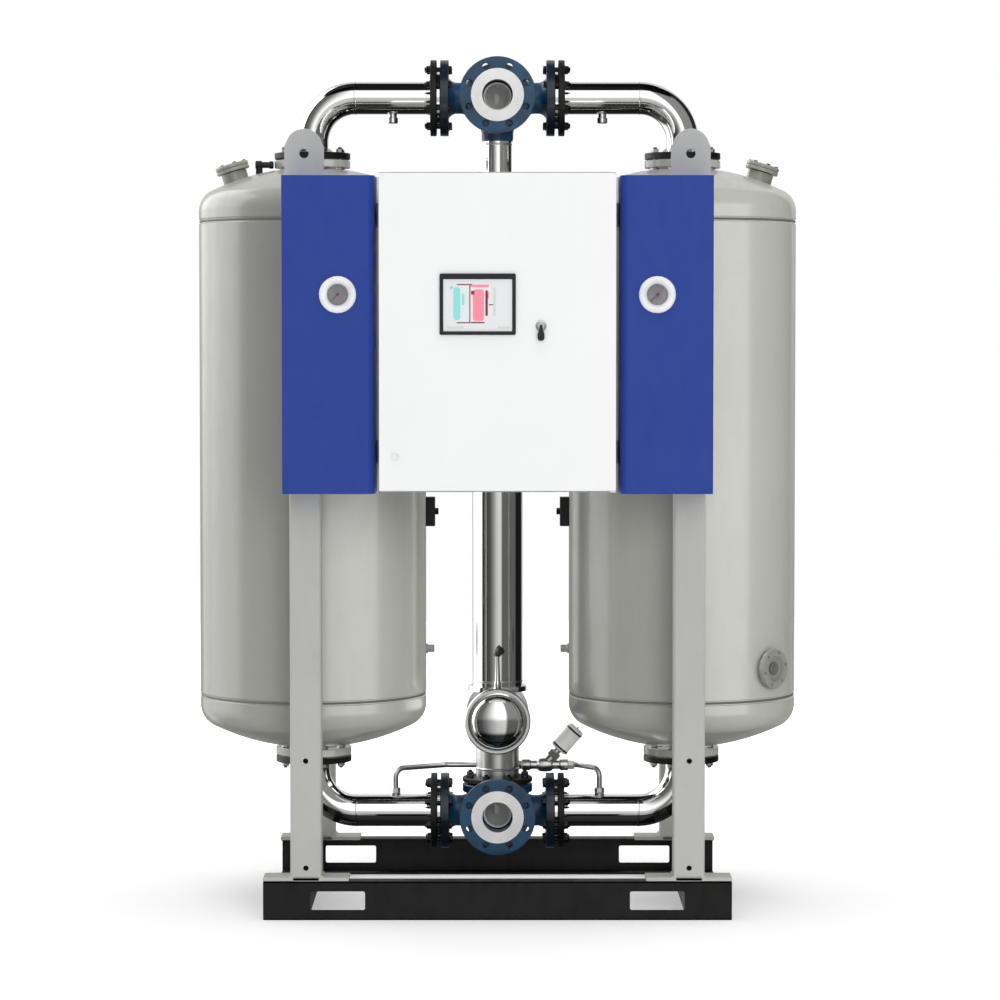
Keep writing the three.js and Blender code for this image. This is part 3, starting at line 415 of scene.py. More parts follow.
def paint(name, slot, colour, rough, peel=0.00003, dirt=0.12, coat=0.0):
    """Sprayed paint: orange peel, a slow drift of shade, and a little dust that dulls it."""
    made = Finish(name, slot, Metallic=0.0, Coat_Weight=coat, Coat_Roughness=0.12)
    drift = made.spread(made.noise(2.2, 4), 0, 1)
    dust = made.spread(made.noise(38, 6, (1, 1, 0.35)), 0, 1, 0.45, 0.8)
    base = made.blend(drift, shade(colour, 1 - dirt / 3), shade(colour, 1 + dirt / 3))
    made.colour(made.blend(made.spread(dust, 0, dirt, 0, 1), base, shade(colour, 0.72)))
    made.roughness(made.spread(dust, rough, rough + 0.14, 0, 1))
    made.bump((made.noise(700, 2), peel), (made.noise(60, 2), peel * 2.5))
    return made.material


def cast_paint(name, slot, colour, rough):
    """Glossy paint over the coarse skin of a casting."""
    made = Finish(name, slot, Metallic=0.0, Coat_Weight=0.3, Coat_Roughness=0.1)
    drift = made.spread(made.noise(14, 4), 0, 1)
    made.colour(made.blend(drift, shade(colour, 0.5), shade(colour, 1.15)))
    made.roughness(made.spread(made.noise(90, 4), rough, rough + 0.15))
    made.bump((made.noise(260, 5), 0.00022), (made.noise(45, 3), 0.0005))
    return made.material


def polished(name, slot, colour, rough, stretch, grain=0.000008, metallic=1.0):
    """Polished stainless steel with fine polishing lines along the short way of `stretch`."""
    made = Finish(name, slot, Metallic=metallic)
    lines = made.noise(60, 4, stretch)
    smudge = made.spread(made.noise(7, 5, distortion=0.6), 0, 1, 0.4, 0.75)
    made.colour(made.blend(smudge, colour, shade(colour, 0.93)))
    made.roughness(made.spread(smudge, rough, rough + 0.07, 0, 1))
    made.bump((lines, grain))
    return made.material


def machined(name, slot, colour, centre, rough=0.28):
    """A face turned on a lathe about the Y axis through `centre`: fine rings round it."""
    made = Finish(name, slot, Metallic=0.1)
    position = made.place((1, 0, 1), (-centre.x * MM, 0, -centre.z * MM))
    length = made.node("ShaderNodeVectorMath", operation="LENGTH")
    made.link(position, length.inputs[0])
    wave = made.node("ShaderNodeTexWave", wave_type="BANDS", bands_direction="X")
    wave.inputs["Scale"].default_value = 260
    wave.inputs["Distortion"].default_value = 0.4
    spread = made.node("ShaderNodeCombineXYZ")
    made.link(length.outputs["Value"], spread.inputs["X"])
    made.link(spread.outputs["Vector"], wave.inputs["Vector"])
    stain = made.spread(made.noise(30, 5), 0, 1, 0.4, 0.8)
    made.colour(made.blend(stain, colour, shade(colour, 0.93)))
    made.roughness(made.spread(stain, rough, rough + 0.15, 0, 1))
    made.bump((wave.outputs["Fac"], 0.000012))
    return made.material


def moulded(name, slot, colour, rough, grain=0.00006):
    """Moulded plastic with a fine spark-eroded grain."""
    made = Finish(name, slot, Metallic=0.0)
    made.colour(made.blend(made.spread(made.noise(25, 4), 0, 1), shade(colour, 0.9), shade(colour, 1.12)))
    made.roughness(made.spread(made.noise(120, 4), rough, rough + 0.12))
    made.bump((made.noise(1500, 3), grain))
    return made.material


def galvanised(name, slot, colour, rough):
    """Bright zinc with the small spangles of its crystals."""
    made = Finish(name, slot, Metallic=1.0)
    cells = made.node("ShaderNodeTexVoronoi")
    cells.inputs["Scale"].default_value = 260
    made.link(made.place(), cells.inputs["Vector"])
    made.colour(made.blend(cells.outputs["Distance"], shade(colour, 0.85), shade(colour, 1.1)))
    made.roughness(made.spread(made.noise(80, 4), rough, rough + 0.2))
    made.bump((made.noise(900, 3), 0.00003))
    return made.material


def rubber_like(name, slot, colour):
    made = Finish(name, slot, Metallic=0.0)
    made.colour(made.blend(made.spread(made.noise(60, 4), 0, 1), shade(colour, 0.8), shade(colour, 1.3)))
    made.roughness(made.spread(made.noise(200, 4), 0.7, 0.9))
    made.bump((made.noise(900, 4), 0.0001))
    return made.material


def lit_screen(name, slot, colour, strength):
    """A backlit display: a fine grid of pixels glows behind a smooth cover."""
    made = Finish(name, slot, Metallic=0.0, Roughness=0.12, Emission_Strength=strength)
    checks = made.node("ShaderNodeTexChecker")
    checks.inputs["Scale"].default_value = 900
    checks.inputs["Color1"].default_value = (*colour, 1)
    checks.inputs["Color2"].default_value = (*shade(colour, 0.86), 1)
    made.link(made.place(), checks.inputs["Vector"])
    made.colour(checks.outputs["Color"])
    made.link(checks.outputs["Color"], made.shader.inputs["Emission Color"])
    return made.material


def clear_glass(name, slot):
    made = Finish(name, slot, Metallic=0.0, Transmission_Weight=1.0, IOR=1.2)
    made.roughness(made.spread(made.noise(40, 5), 0.0, 0.03))
    return made.material


def bead_fill(name, slot, colour):
    """A bed of small round beads, each painted darker towards its rim: painted shade in the gaps between
    beads.
    """
    made = Finish(name, slot, Metallic=0.0)
    cells = made.node("ShaderNodeTexVoronoi")
    cells.inputs["Scale"].default_value = 220
    made.link(made.place(), cells.inputs["Vector"])
    # Painted shade: bright bead centres darken to 0.45 where the beads meet.
    made.colour(made.blend(cells.outputs["Distance"], shade(colour, 1.05), shade(colour, 0.45)))
    made.roughness(made.spread(made.noise(300, 3), 0.75, 0.95))
    made.bump((made.spread(cells.outputs["Distance"], 1, 0, 0, 1), 0.002))
    return made.material


ROUND_Z = (0.02, 0.02, 14)
ROUND_X = (14, 0.02, 0.02)
ROUND_Y = (0.02, 14, 0.02)

TANK = paint("tank_paint", "grey_paint", (0.315, 0.318, 0.285), 0.3, coat=0.5)
# A darker copy of the tank paint. On the weld beads it is painted shade for the groove at each seam; the
# drain plugs and their screws take it as well.
TANK_DARK = paint("weld_paint", "grey_paint", (0.16, 0.16, 0.145), 0.5, peel=0.0002)
POST = paint("post_paint", "post_paint", (0.50, 0.50, 0.47), 0.5)
BLACK = paint("black_paint", "black_paint", (0.004, 0.004, 0.004), 0.5, dirt=0.3)
BLUE = paint("blue_paint", "blue_paint", (0.0108, 0.045, 0.292), 0.42, dirt=0.06)
WHITE = paint("white_paint", "white_paint", (0.925, 0.93, 0.93), 0.38, dirt=0.03)
VALVE = cast_paint("valve_paint", "valve_paint", (0.004, 0.062, 0.140), 0.35)
# A near-black copy of the valve paint for the valves' side flanges: painted shade standing in for their
# edge-on rims lying in dark.
VALVE_SHADED_DARK = cast_paint("valve_flange_paint", "valve_paint", (0.003, 0.010, 0.022), 0.3)
PIPE = polished("polished_pipe", "stainless", (0.90, 0.90, 0.89), 0.06, ROUND_X)
COLUMN = polished("polished_column", "stainless", (0.88, 0.88, 0.87), 0.07, ROUND_Z)
DOME = polished("polished_dome", "stainless", (0.90, 0.90, 0.89), 0.04, ROUND_Y)
BRIGHT = polished("bright_satin", "stainless", (0.92, 0.91, 0.89), 0.42, ROUND_Y, 0.00002, metallic=0.05)
SATIN = polished("satin_steel", "stainless", (0.72, 0.72, 0.71), 0.3, (1, 1, 20), 0.00003)
ZINC = galvanised("zinc", "zinc", (0.50, 0.50, 0.49), 0.28)
DARK_BOLT = galvanised("blackened_bolt", "zinc", (0.06, 0.06, 0.065), 0.35)
PLASTIC = moulded("black_plastic", "dark_plastic", (0.016, 0.017, 0.019), 0.45)
GREY_PLASTIC = moulded("grey_plastic", "dark_plastic", (0.10, 0.10, 0.105), 0.45)
BEZEL = moulded("gauge_bezel", "white_plastic", (0.84, 0.85, 0.86), 0.2, 0.00001)
DIAL = moulded("gauge_dial", "white_plastic", (0.37, 0.375, 0.385), 0.5, 0.00001)
INK = moulded("dial_ink", "dark_plastic", (0.01, 0.01, 0.01), 0.5, 0.00001)
NEEDLE = moulded("needle", "red_needle", (0.30, 0.02, 0.012), 0.35, 0.00001)
RUBBER = rubber_like("gasket", "dark_plastic", (0.012, 0.012, 0.012))
GLASS = clear_glass("gauge_glass", "white_plastic")
BEADS = bead_fill("alumina_beads", "beads", (0.75, 0.70, 0.58))


# ------------------------------------------------------------------ pieces
CREASE = math.radians(32)


def piece(name, part, material, body="frame", stands_for=()):
    """Turns a body in millimetres into a named piece that rides on a CAD body."""
    bmesh.ops.recalc_face_normals(part, faces=part.faces)
    part.transform(Matrix.Scale(MM, 4))
    for face in part.faces:
        face.smooth = True
    for edge in part.edges:
        if len(edge.link_faces) == 2 and edge.calc_face_angle() > CREASE:
            edge.smooth = False
    mesh = bpy.data.meshes.new(name)
    part.to_mesh(mesh)
    part.free()
    mesh.materials.append(material)
    made = bpy.data.objects.new(name, mesh)
    bpy.context.scene.collection.objects.link(made)
    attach(made, body)
    normals = made.modifiers.new("even_shading", "WEIGHTED_NORMAL")
    normals.keep_sharp = True
    if stands_for:
        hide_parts(*stands_for)
    return made


def kept(node, material, ease=0.0):
    """A CAD node that stays, with a better material and eased edges."""
    made = frame["nodes"][node]
    made.data.materials.clear()
    made.data.materials.append(material)
    if ease:
        bevel = made.modifiers.new("eased", "BEVEL")
        bevel.width = ease * MM
        bevel.segments = 2
        bevel.limit_method = "ANGLE"
        bevel.angle_limit = math.radians(40)
    return made


# ------------------------------------------------------------------ skid
BEAM_WALL = 6
POCKET_X, POCKET_HALF, POCKET_LOW, POCKET_HIGH = 409, 70, 26, 74
POST_SIZE, POST_WALL = 80, 5
POST_TOP, FOOT_TOP = 1890, 110
POST_HOLES = (134, 409)


def channel_beam(end, facing):
    low, high = corners(f"base_beam_{end}")
    height = high.z - low.z
    outer_y = low.y if facing < 0 else high.y
    web_front = outer_y if facing < 0 else outer_y - BEAM_WALL
    pockets = [
        rounded(x - POCKET_HALF, POCKET_LOW, x + POCKET_HALF, POCKET_HIGH, 5)
        for x in (-POCKET_X, POCKET_X)
    ]
    web = plate(rounded(low.x, 0, high.x, height, 3), BEAM_WALL, (0, web_front, 0), "front", pockets, 0.9)
    flanges = [
        slab((low.x, low.y, z), (high.x, high.y, z + BEAM_WALL), 1.6)
        for z in (0, height - BEAM_WALL)
    ]
    piece(f"beam_{end}", joined(web, *flanges), BLACK, stands_for=[f"base_beam_{end}"])


LUG_HALF, LUG_BOTTOM, LUG_HEAD, LUG_TOP = 50, 1840, 46, 2018
LUG_THICK, LUG_HOLE_Z, LUG_HOLE_R = 12, 1955, 12
LUG_ARC_START, LUG_ARC_STEPS = 0.35, 28


def lug_outline(x):
    """A plate with a round head, centred on x: two sides and an arc over the top."""
    half, bottom, head = LUG_HALF, LUG_BOTTOM, LUG_HEAD
    centre = LUG_TOP - head
    arc = []
    for k in range(LUG_ARC_STEPS + 1):
        angle = LUG_ARC_START + (math.pi - 2 * LUG_ARC_START) * k / LUG_ARC_STEPS
        arc.append((x + head * math.cos(angle), centre + head * math.sin(angle)))
    return [(x - half, centre), (x - half, bottom), (x + half, bottom), (x + half, centre), *arc]


def post(end, facing, side, sign):
    low, high = corners(f"post_{end}_{side}")
    x = sign * TOWER_X
    half = POST_SIZE / 2
    outer_y = low.y if facing < 0 else high.y
    inner_y = outer_y - facing * POST_SIZE
    y0, y1 = sorted((outer_y, inner_y))
    base, top = low.z, POST_TOP
    section = rounded(x - half, y0, x + half, y1, 7)
    hollow = rounded(x - half + POST_WALL, y0 + POST_WALL, x + half - POST_WALL, y1 - POST_WALL, 3)
    column = plate(section, top - base, (0, 0, top), "up", [hollow], 0.6)
    holes = [
        revolve([(0, -14), (7, -14), (7, 14), (0, 14)], (x, outer_y, z), (0, 1, 0), 24)
        for z in POST_HOLES
    ]
    tag = f"{end}_{side}"
    piece(f"post_{tag}_tube", carved(column, *holes), POST, stands_for=[f"post_{tag}"])
    foot = slab((low.x, y0, base), (high.x, y1, FOOT_TOP), 1.5)
    weld = slab((x - half - 5, y0, FOOT_TOP - 2), (x + half + 5, y1, FOOT_TOP + 4), 2.4)
    piece(f"post_{tag}_foot", joined(foot, weld), POST)
    plate_front = outer_y if facing < 0 else outer_y - LUG_THICK
    lug = plate(
        lug_outline(x), LUG_THICK, (0, plate_front, 0), "front",
        [circle(x, LUG_HOLE_Z, LUG_HOLE_R, 32)], 1.0)
    piece(f"post_{tag}_lug", lug, POST)


def skid():
    for end, facing in ENDS.items():
        channel_beam(end, facing)
        for side, sign in SIDES.items():
            post(end, facing, side, sign)
    for side in SIDES:
        kept(f"base_rail_{side}", BLACK, 2.5)
    for rail in ("cabinet_rail_lower", "cabinet_rail_upper"):
        kept(rail, POST, 2.5)


# ------------------------------------------------------------------ towers
SHELL_R, SHELL_WALL = 300, 6
WELD_LOW, WELD_HIGH = 545, 1795
HEAD_RIM, HEAD_RISE, CROWN_R, KNUCKLE_R = 28, 116, 600, 60
PAD_R, PAD_THICK = 100, 20
NECK_R = 62
PAD_LOW = 381
PAD_HIGH = 1957
PORT_BORE = 40


def head_points(start, inset, crown_steps=14, knuckle_steps=12):
    """A dished head from `start` off the axis to its rim, in heights above the tangent line."""
    crown, knuckle = CROWN_R - inset, KNUCKLE_R - inset
    first = math.asin(start / crown)
    turn = math.asin((SHELL_R - KNUCKLE_R) / (CROWN_R - KNUCKLE_R))
    points = []
    for k in range(crown_steps + 1):
        angle = first + (turn - first) * k / crown_steps
        points.append((crown * math.sin(angle), HEAD_RISE - CROWN_R + crown * math.cos(angle)))
    for k in range(1, knuckle_steps + 1):
        angle = turn + (math.pi / 2 - turn) * k / knuckle_steps
        points.append((SHELL_R - KNUCKLE_R + knuckle * math.sin(angle), knuckle * math.cos(angle)))
    return points


def seam(z):
    """The lap of a head over the shell: a shallow groove either side of the weld."""
    return [(SHELL_R, z - 7), (SHELL_R - 2.6, z - 5), (SHELL_R - 2.6, z + 5), (SHELL_R, z + 7)]


def tower_shell(side, x):
    high, low = WELD_HIGH + HEAD_RIM, WELD_LOW - HEAD_RIM
    skin = head_points(NECK_R + 6, 0)
    inside = head_points(PORT_BORE, SHELL_WALL, 6, 6)
    neck_top, neck_low = skin[0][1] + high, low - skin[0][1]
    profile = [
        (PORT_BORE, PAD_LOW), (PAD_R - 1.5, PAD_LOW), (PAD_R, PAD_LOW + 1.5),
        (PAD_R, PAD_LOW + PAD_THICK - 1.5), (PAD_R - 1.5, PAD_LOW + PAD_THICK),
        (NECK_R + 2, PAD_LOW + PAD_THICK), (NECK_R, neck_low - 6),
        *[(r, low - h) for r, h in skin],
        *seam(WELD_LOW), *seam(WELD_HIGH),
        *[(r, high + h) for r, h in reversed(skin)],
        (NECK_R, neck_top + 6), (NECK_R + 2, PAD_HIGH - PAD_THICK),
        (PAD_R - 1.5, PAD_HIGH - PAD_THICK), (PAD_R, PAD_HIGH - PAD_THICK + 1.5),
        (PAD_R, PAD_HIGH - 1.5), (PAD_R - 1.5, PAD_HIGH), (PORT_BORE, PAD_HIGH),
        *[(r, high + h) for r, h in inside],
        *[(r, low - h) for r, h in reversed(inside)],
    ]
    shell = revolve(profile, (x, TOWER_Y, 0), steps=144)
    tank = piece(f"tower_{side}_shell", shell, TANK, stands_for=[f"vessel_{side}"])
    beads = [weld_ring(SHELL_R - 2.6, z, x) for z in (WELD_LOW, WELD_HIGH)]
    # The beads take the darker copy of the tank paint: painted shade in the seam's groove.
    piece(f"tower_{side}_welds", joined(*beads), TANK_DARK)
    return tank


def weld_ring(radius, z, x, ripple=0.5, width=3.4):
    """A weld bead round a tower, with the ripples of its passes."""
    steps = 360
    part = bmesh.new()
    rings = []
    profile = [(-0.6, -width), (1.0, -width * 0.6), (1.9, 0), (1.0, width * 0.6), (-0.6, width)]
    for k in range(steps):
        angle = TAU * k / steps
        swell = ripple * math.sin(angle * 120) * 0.5
        rings.append([
            part.verts.new((
                x + (radius + out + (swell if out > 0 else 0)) * math.cos(angle),
                TOWER_Y + (radius + out + (swell if out > 0 else 0)) * math.sin(angle),
                z + up,
            ))
            for out, up in profile
        ])
    for k, ring in enumerate(rings):
        after = rings[(k + 1) % steps]
        for i in range(len(profile)):
            n = (i + 1) % len(profile)
            part.faces.new((ring[i], ring[n], after[n], after[i]))
    return part


FILL_OFFSET, FILL_TOP, FILL_TILT = 214.6, 1947, math.radians(17)
DRAIN_ANGLE, DRAIN_Z, DRAIN_REACH = math.radians(43), 628, 306


def fill_port(side, sign):
    lean = Vector((sign * math.sin(FILL_TILT), 0, math.cos(FILL_TILT)))
    top = Vector((sign * (TOWER_X + FILL_OFFSET), TOWER_Y, FILL_TOP))
    neck = revolve([(27, -58), (34, -58), (34, -22), (27, -22)], top, lean, 48)
    collar = disc(44, 9.5, top - lean * 20, lean, 1.2, hole=28, steps=64)
    cover = disc(44, 9.8, top - lean * 9.8, lean, 1.8, steps=64)
    piece(f"fill_{side}_neck", joined(neck, collar), TANK)
    piece(f"fill_{side}_cover", cover, TANK, stands_for=[f"fill_port_cap_{side}"])
    frame_at = Matrix.Translation(top) @ along_axis(lean)
    screws = [
        placed(hexagon(10, 5, point, (0, 0, 1)), frame_at)
        for point in on_circle("z", (0, 0, -1.5), 35, 6, 0.3)
    ]
    piece(f"fill_{side}_screws", joined(*screws), ZINC)


def drain_port(side, sign):
    angle = DRAIN_ANGLE + (math.pi if sign < 0 else 0)
    out = Vector((math.cos(angle), -math.sin(angle), 0))
    axis = Vector((sign * TOWER_X, TOWER_Y, DRAIN_Z))
    seat = axis + out * DRAIN_REACH
    neck = disc(42, 14, seat - out * 14, out, 1.0, hole=34, steps=64)
    flange = revolve(
        [(0, 0.3), (50, 0.3), (52, 2), (52, 12), (50.5, 14), (34, 14), (31, 6), (0, 6)], seat, out, 72)
    plug = joined(
        revolve([(0, 6), (17, 6), (17, 10), (15, 12), (0, 12)], seat, out, 48),
        hexagon(17, 2.3, seat + out * 11.9, out),
    )
    piece(f"drain_{side}_neck", neck, TANK)
    piece(f"drain_{side}_flange", flange, TANK, stands_for=[f"drain_port_cap_{side}"])
    piece(f"drain_{side}_plug", plug, TANK_DARK)
    frame_at = Matrix.Translation(seat) @ along_axis(out)
    screws = [
        placed(hexagon(8, 3, point, (0, 0, 1)), frame_at)
        for point in on_circle("z", (0, 0, 11.3), 43, 6, 0.2)
    ]
    piece(f"drain_{side}_screws", joined(*screws), TANK_DARK)


def relief_valve():
    """A small black relief valve on a nipple, lying across the left dome."""
    x, z = -TOWER_X - 127, 1944
    nipple = revolve([(0, -26), (9, -26), (9, 8), (0, 8)], (x - 14, TOWER_Y, z - 6), steps=24)
    body = revolve(
        [(0, -24), (9, -24), (11, -22), (11, -8), (8, -6), (8, 12), (10, 14), (10, 22), (8, 24), (0, 24)],
        (x, TOWER_Y, z + 2), (1, 0, 0), 32)
    piece("relief_valve", joined(nipple, body), PLASTIC)


BRACKETS, BRACKET_HIGH = (815, 1560), 76


def tower_fittings(side, sign):
    x = sign * TOWER_X
    inner = x - sign * SHELL_R
    boss = revolve(
        [(0, -14), (13, -14), (13, 4), (10, 6), (10, 20), (8.5, 22), (0, 22)],
        (inner, TOWER_Y, 662), (-sign, 0, 0), 32)
    piece(f"tower_{side}_boss", boss, TANK)
    # The clip is painted black. It lies in the cabinet's shadow, so its black is partly the bracket's own
    # paint and partly painted shade.
    low_x, high_x = sorted((inner + sign * 10, inner - sign * 24))
    clip = joined(
        slab((low_x, TOWER_Y - 22, 989), (high_x, TOWER_Y + 22, 1066), 1.5),
        hexagon(17, 9, (inner - sign * 24, TOWER_Y, 1028), (-sign, 0, 0)),
    )
    piece(f"tower_{side}_clip", clip, BLACK)
    brackets = []
    for low in BRACKETS:
        for facing in ENDS.values():
            y0, y1 = sorted((TOWER_Y + facing * 292, TOWER_Y + facing * 319.7))
            brackets.append(slab((x - 30, y0, low), (x + 30, y1, low + BRACKET_HIGH), 1.2))
    piece(f"tower_{side}_brackets", joined(*brackets), POST)


def towers():
    tanks = []
    for side, sign in SIDES.items():
        tanks.append(tower_shell(side, sign * TOWER_X))
        fill_port(side, sign)
        drain_port(side, sign)
        tower_fittings(side, sign)
        kept(f"desiccant_bed_{side}", BEADS)
        kept(f"bed_screen_{side}", ZINC)
    relief_valve()
    return tanks


# ------------------------------------------------------------------ flanged joints
FLANGE_R, FLANGE_BORE, FLANGE_THICK = 100, 43.2, 16
BOLT_CIRCLE, BOLT_COUNT, BOLT_HOLE = 80, 8, 9
BOLT_START = TAU / 16
BOLT_SIZE = 11
PIPE_R, PIPE_BORE, PIPE_BEND, STUB_END = 42.5, 38.5, 114, 151.3


def flange(axis, at, thick, bore, radius=FLANGE_R, holes=True):
    """A round flange whose face is at `at`, with its bolt holes astride the centre lines."""
    rings = [circle(0, 0, bore, 64)]
    if holes:
        for point in on_circle("z", (0, 0, 0), BOLT_CIRCLE, BOLT_COUNT, BOLT_START):
            rings.append(circle(point.x, point.y, BOLT_HOLE, 24))
    return plate(circle(0, 0, radius, 96), thick, at, AXIS_FACING[axis], rings, 1.4)


def pipes():
    for level, centre, pad, toward in (("upper", UPPER, PAD_HIGH, -1), ("lower", LOWER, PAD_LOW, 1)):
        for side, sign in SIDES.items():
            tag = f"{level}_{side}"
            start = sign * STUB_END
            x = sign * TOWER_X
            run = [(start, TOWER_Y, centre.z), (x, TOWER_Y, centre.z), (x, TOWER_Y, pad - toward * 0.3)]
            pipe = tube(run, PIPE_BEND, PIPE_R, PIPE_BORE, 64, 24)
            parts = [pipe, disc(69, 9.4, (start, TOWER_Y, centre.z), (sign, 0, 0), 1.2, hole=41)]
            parts.append(disc(69, 2.7, (x, TOWER_Y, pad - toward * 0.3), (0, 0, -toward), 0.6, hole=41))
            parts.append(seam_ring(PIPE_R, (x - sign * PIPE_BEND, TOWER_Y, centre.z), (1, 0, 0)))
            if level == "upper":
                tap = revolve(
                    [(0, -24), (12, -24), (14, -22), (14, -10), (11, -8), (11, 6), (0, 6)],
                    (sign * 277, TOWER_Y, centre.z - PIPE_R), (0, 0, 1), 32)
                parts.append(tap)
            piece(f"pipe_{tag}", joined(*parts), PIPE, stands_for=[f"{level}_pipe_{side}"])

            outer_face = sign * 177 if sign > 0 else -161
            valve_end = flange("x", (outer_face, TOWER_Y, centre.z), FLANGE_THICK, FLANGE_BORE)
            piece(f"loose_flange_{tag}_valve", valve_end, BLACK,
                stands_for=[f"{level}_valve_flange_{side}"])
            low, high = corners(f"{level}_vessel_flange_{side}")
            vessel_end = flange("z", (x, TOWER_Y, high.z), FLANGE_THICK, FLANGE_BORE)
            piece(f"loose_flange_{tag}_tower", vessel_end, BLACK,
                stands_for=[f"{level}_vessel_flange_{side}"])

            bolts = [
                bolt(point, (sign, 0, 0), 48, BOLT_SIZE)
                for point in on_circle("x", (sign * 129, TOWER_Y, centre.z), BOLT_CIRCLE,
                    BOLT_COUNT, BOLT_START)
            ]
            piece(f"bolts_{tag}_valve", joined(*bolts), DARK_BOLT)
            pad_inner = pad + toward * PAD_THICK
            far = low.z if toward > 0 else high.z
            bolts = [
                bolt(point, (0, 0, -toward), abs(far - pad_inner), BOLT_SIZE)
                for point in on_circle("z", (x, TOWER_Y, pad_inner), BOLT_CIRCLE, BOLT_COUNT, BOLT_START)
            ]
            piece(f"bolts_{tag}_tower", joined(*bolts), ZINC)


def seam_ring(radius, at, direction, rise=0.9, width=2.6):
    """The low bead of a butt weld round a pipe."""
    profile = [(radius - 0.8, -width), (radius + 0.3, -width), (radius + rise, 0),
        (radius + 0.3, width), (radius - 0.8, width)]
    return revolve(profile, at, direction, 64)


# ------------------------------------------------------------------ changeover valves
def valve_casting(level, centre, third):
    at = (0, TOWER_Y, centre.z)
    barrel = revolve(
        [(40, -118), (84, -118), (81, -108), (79, -98), (79, 62), (84, 68), (86, 72), (86, 84), (82, 88),
         (12, 88), (12, 74), (68, 74), (68, -72), (40, -72)],
        at, (0, 1, 0), 96)
    necks = [
        revolve(
            [(34, 55), (58, 55), (52, 70), (44, 82), (41, 94), (41, 112), (45, 121), (54, 130),
            (54, 134), (34, 134)],
            at, (sign, 0, 0), 72)
        for sign in SIDES.values()
    ]
    cross = revolve([(0, -150), (34, -150), (34, 150), (0, 150)], at, (1, 0, 0), 48)
    if third < 0:
        port = revolve(
            [(35, 60), (58, 60), (50, 74), (44, 82), (42, 92), (42, 106), (40, 114), (35, 114)], at,
            (0, 0, -1), 72)
        port_bore = revolve([(0, 0), (35, 0), (35, 120), (0, 120)], at, (0, 0, -1), 48)
        crown = []
    else:
        port = revolve(
            [(54, 40), (70, 40), (78, 48), (91, 52), (93, 54), (93, 71), (91, 73), (54, 73)], at,
            (0, 0, 1), 96)
        port_bore = revolve([(0, 0), (54, 0), (54, 80), (0, 80)], at, (0, 0, 1), 48)
        crown = [slab((-128, TOWER_Y - 115.5, centre.z + 73), (128, TOWER_Y + 120, centre.z + 120), 0)]
    body = carved(barrel, cross, port_bore, *crown)
    neck_cut = revolve([(0, -66), (67.9, -66), (67.9, 73.9), (0, 73.9)], at, (0, 1, 0), 96)
    sides = carved(joined(*necks), neck_cut)
    port = carved(port, revolve([(0, -71), (67.9, -71), (67.9, 73.9), (0, 73.9)], at, (0, 1, 0), 96))
    piece(f"{level}_valve_barrel", body, VALVE, stands_for=[f"{level}_valve_body"])
    piece(f"{level}_valve_necks", sides, VALVE)
    piece(f"{level}_valve_port", port, VALVE)


def valve_flanges(level, centre):
    front = flange("y", (0, TOWER_Y - 138, centre.z), 22, PORT_BORE)
    piece(f"{level}_valve_front_flange", front, VALVE)
    profile = [(40, 0), (69, 0), (69, 1.6)]
    radius = 68.6
    while radius > 42:
        profile += [(radius, 2.0), (radius - 0.8, 1.6)]
        radius -= 1.6
    profile += [(41, 2.0), (40, 1.4)]
    face = revolve(profile, (0, TOWER_Y - 138, centre.z), (0, -1, 0), 128)
    piece(f"{level}_valve_raised_face", face, machined(f"{level}_face", "stainless", (0.92, 0.92,
        0.91), centre))
    for side, sign in SIDES.items():
        outer_face = sign * 151 if sign > 0 else -129
        side_flange = flange("x", (outer_face, TOWER_Y, centre.z), 22, 34)
        # Painted shade: these flanges take the near-black copy of the valve paint.
        piece(f"{level}_valve_flange_{side}", side_flange, VALVE_SHADED_DARK)


def valve_rotor(level, centre):
    """The polished elbow that joins the front port to one side port, on its shaft."""
    run = [(0, TOWER_Y - 70, centre.z), (0, TOWER_Y, centre.z), (-56, TOWER_Y, centre.z)]
    elbow = tube(run, 40, 37, 33, 64, 20)
    shaft = revolve([(0, 22), (10, 22), (10, 147), (9, 148), (0, 148)], (0, TOWER_Y, centre.z),
        (0, 1, 0), 32)
    web = slab((-9, TOWER_Y + 18, centre.z - 14), (9, TOWER_Y + 44, centre.z + 14), 2)
    piece(f"{level}_elbow", joined(elbow, shaft, web), BRIGHT, f"{level}_rotor", [f"{level}_valve_rotor"])


def actuator(level, centre):
    y = TOWER_Y
    collar = revolve([(12, 88.3), (36, 88.3), (36, 104), (12, 104)], (0, y, centre.z), (0, 1, 0), 48)
    piece(f"{level}_actuator_collar", collar, SATIN)
    housing = slab((-62, y + 104, centre.z - 38), (62, y + 178, centre.z + 38), 7, 4)
    ribs = [slab((x - 2.5, y + 106, centre.z - 40), (x + 2.5, y + 176, centre.z + 40),
        1.2) for x in (-42, -21, 0, 21, 42)]
    piece(
        f"{level}_actuator_housing", joined(housing, *ribs), GREY_PLASTIC,
        stands_for=[f"{level}_valve_actuator"])
    caps, screws = [], []
    for sign in SIDES.values():
        caps.append(revolve(
            [(0, 60), (36, 60), (38, 62), (38, 70), (34, 76), (26, 78), (0, 78)],
            (0, y + 141, centre.z), (sign, 0, 0), 48))
        for point in on_circle("x", (sign * 74, y + 141, centre.z), 30, 4, TAU / 8):
            screws.append(hexagon(8, 4, point, (sign, 0, 0)))
    piece(f"{level}_actuator_caps", joined(*caps), PLASTIC)
    piece(f"{level}_actuator_screws", joined(*screws), ZINC)


def valves():
    for level, centre, third in (("upper", UPPER, -1), ("lower", LOWER, 1)):
        valve_casting(level, centre, third)
        valve_flanges(level, centre)
        valve_rotor(level, centre)
        actuator(level, centre)


# ------------------------------------------------------------------ heater column
HEADER_Z = 478


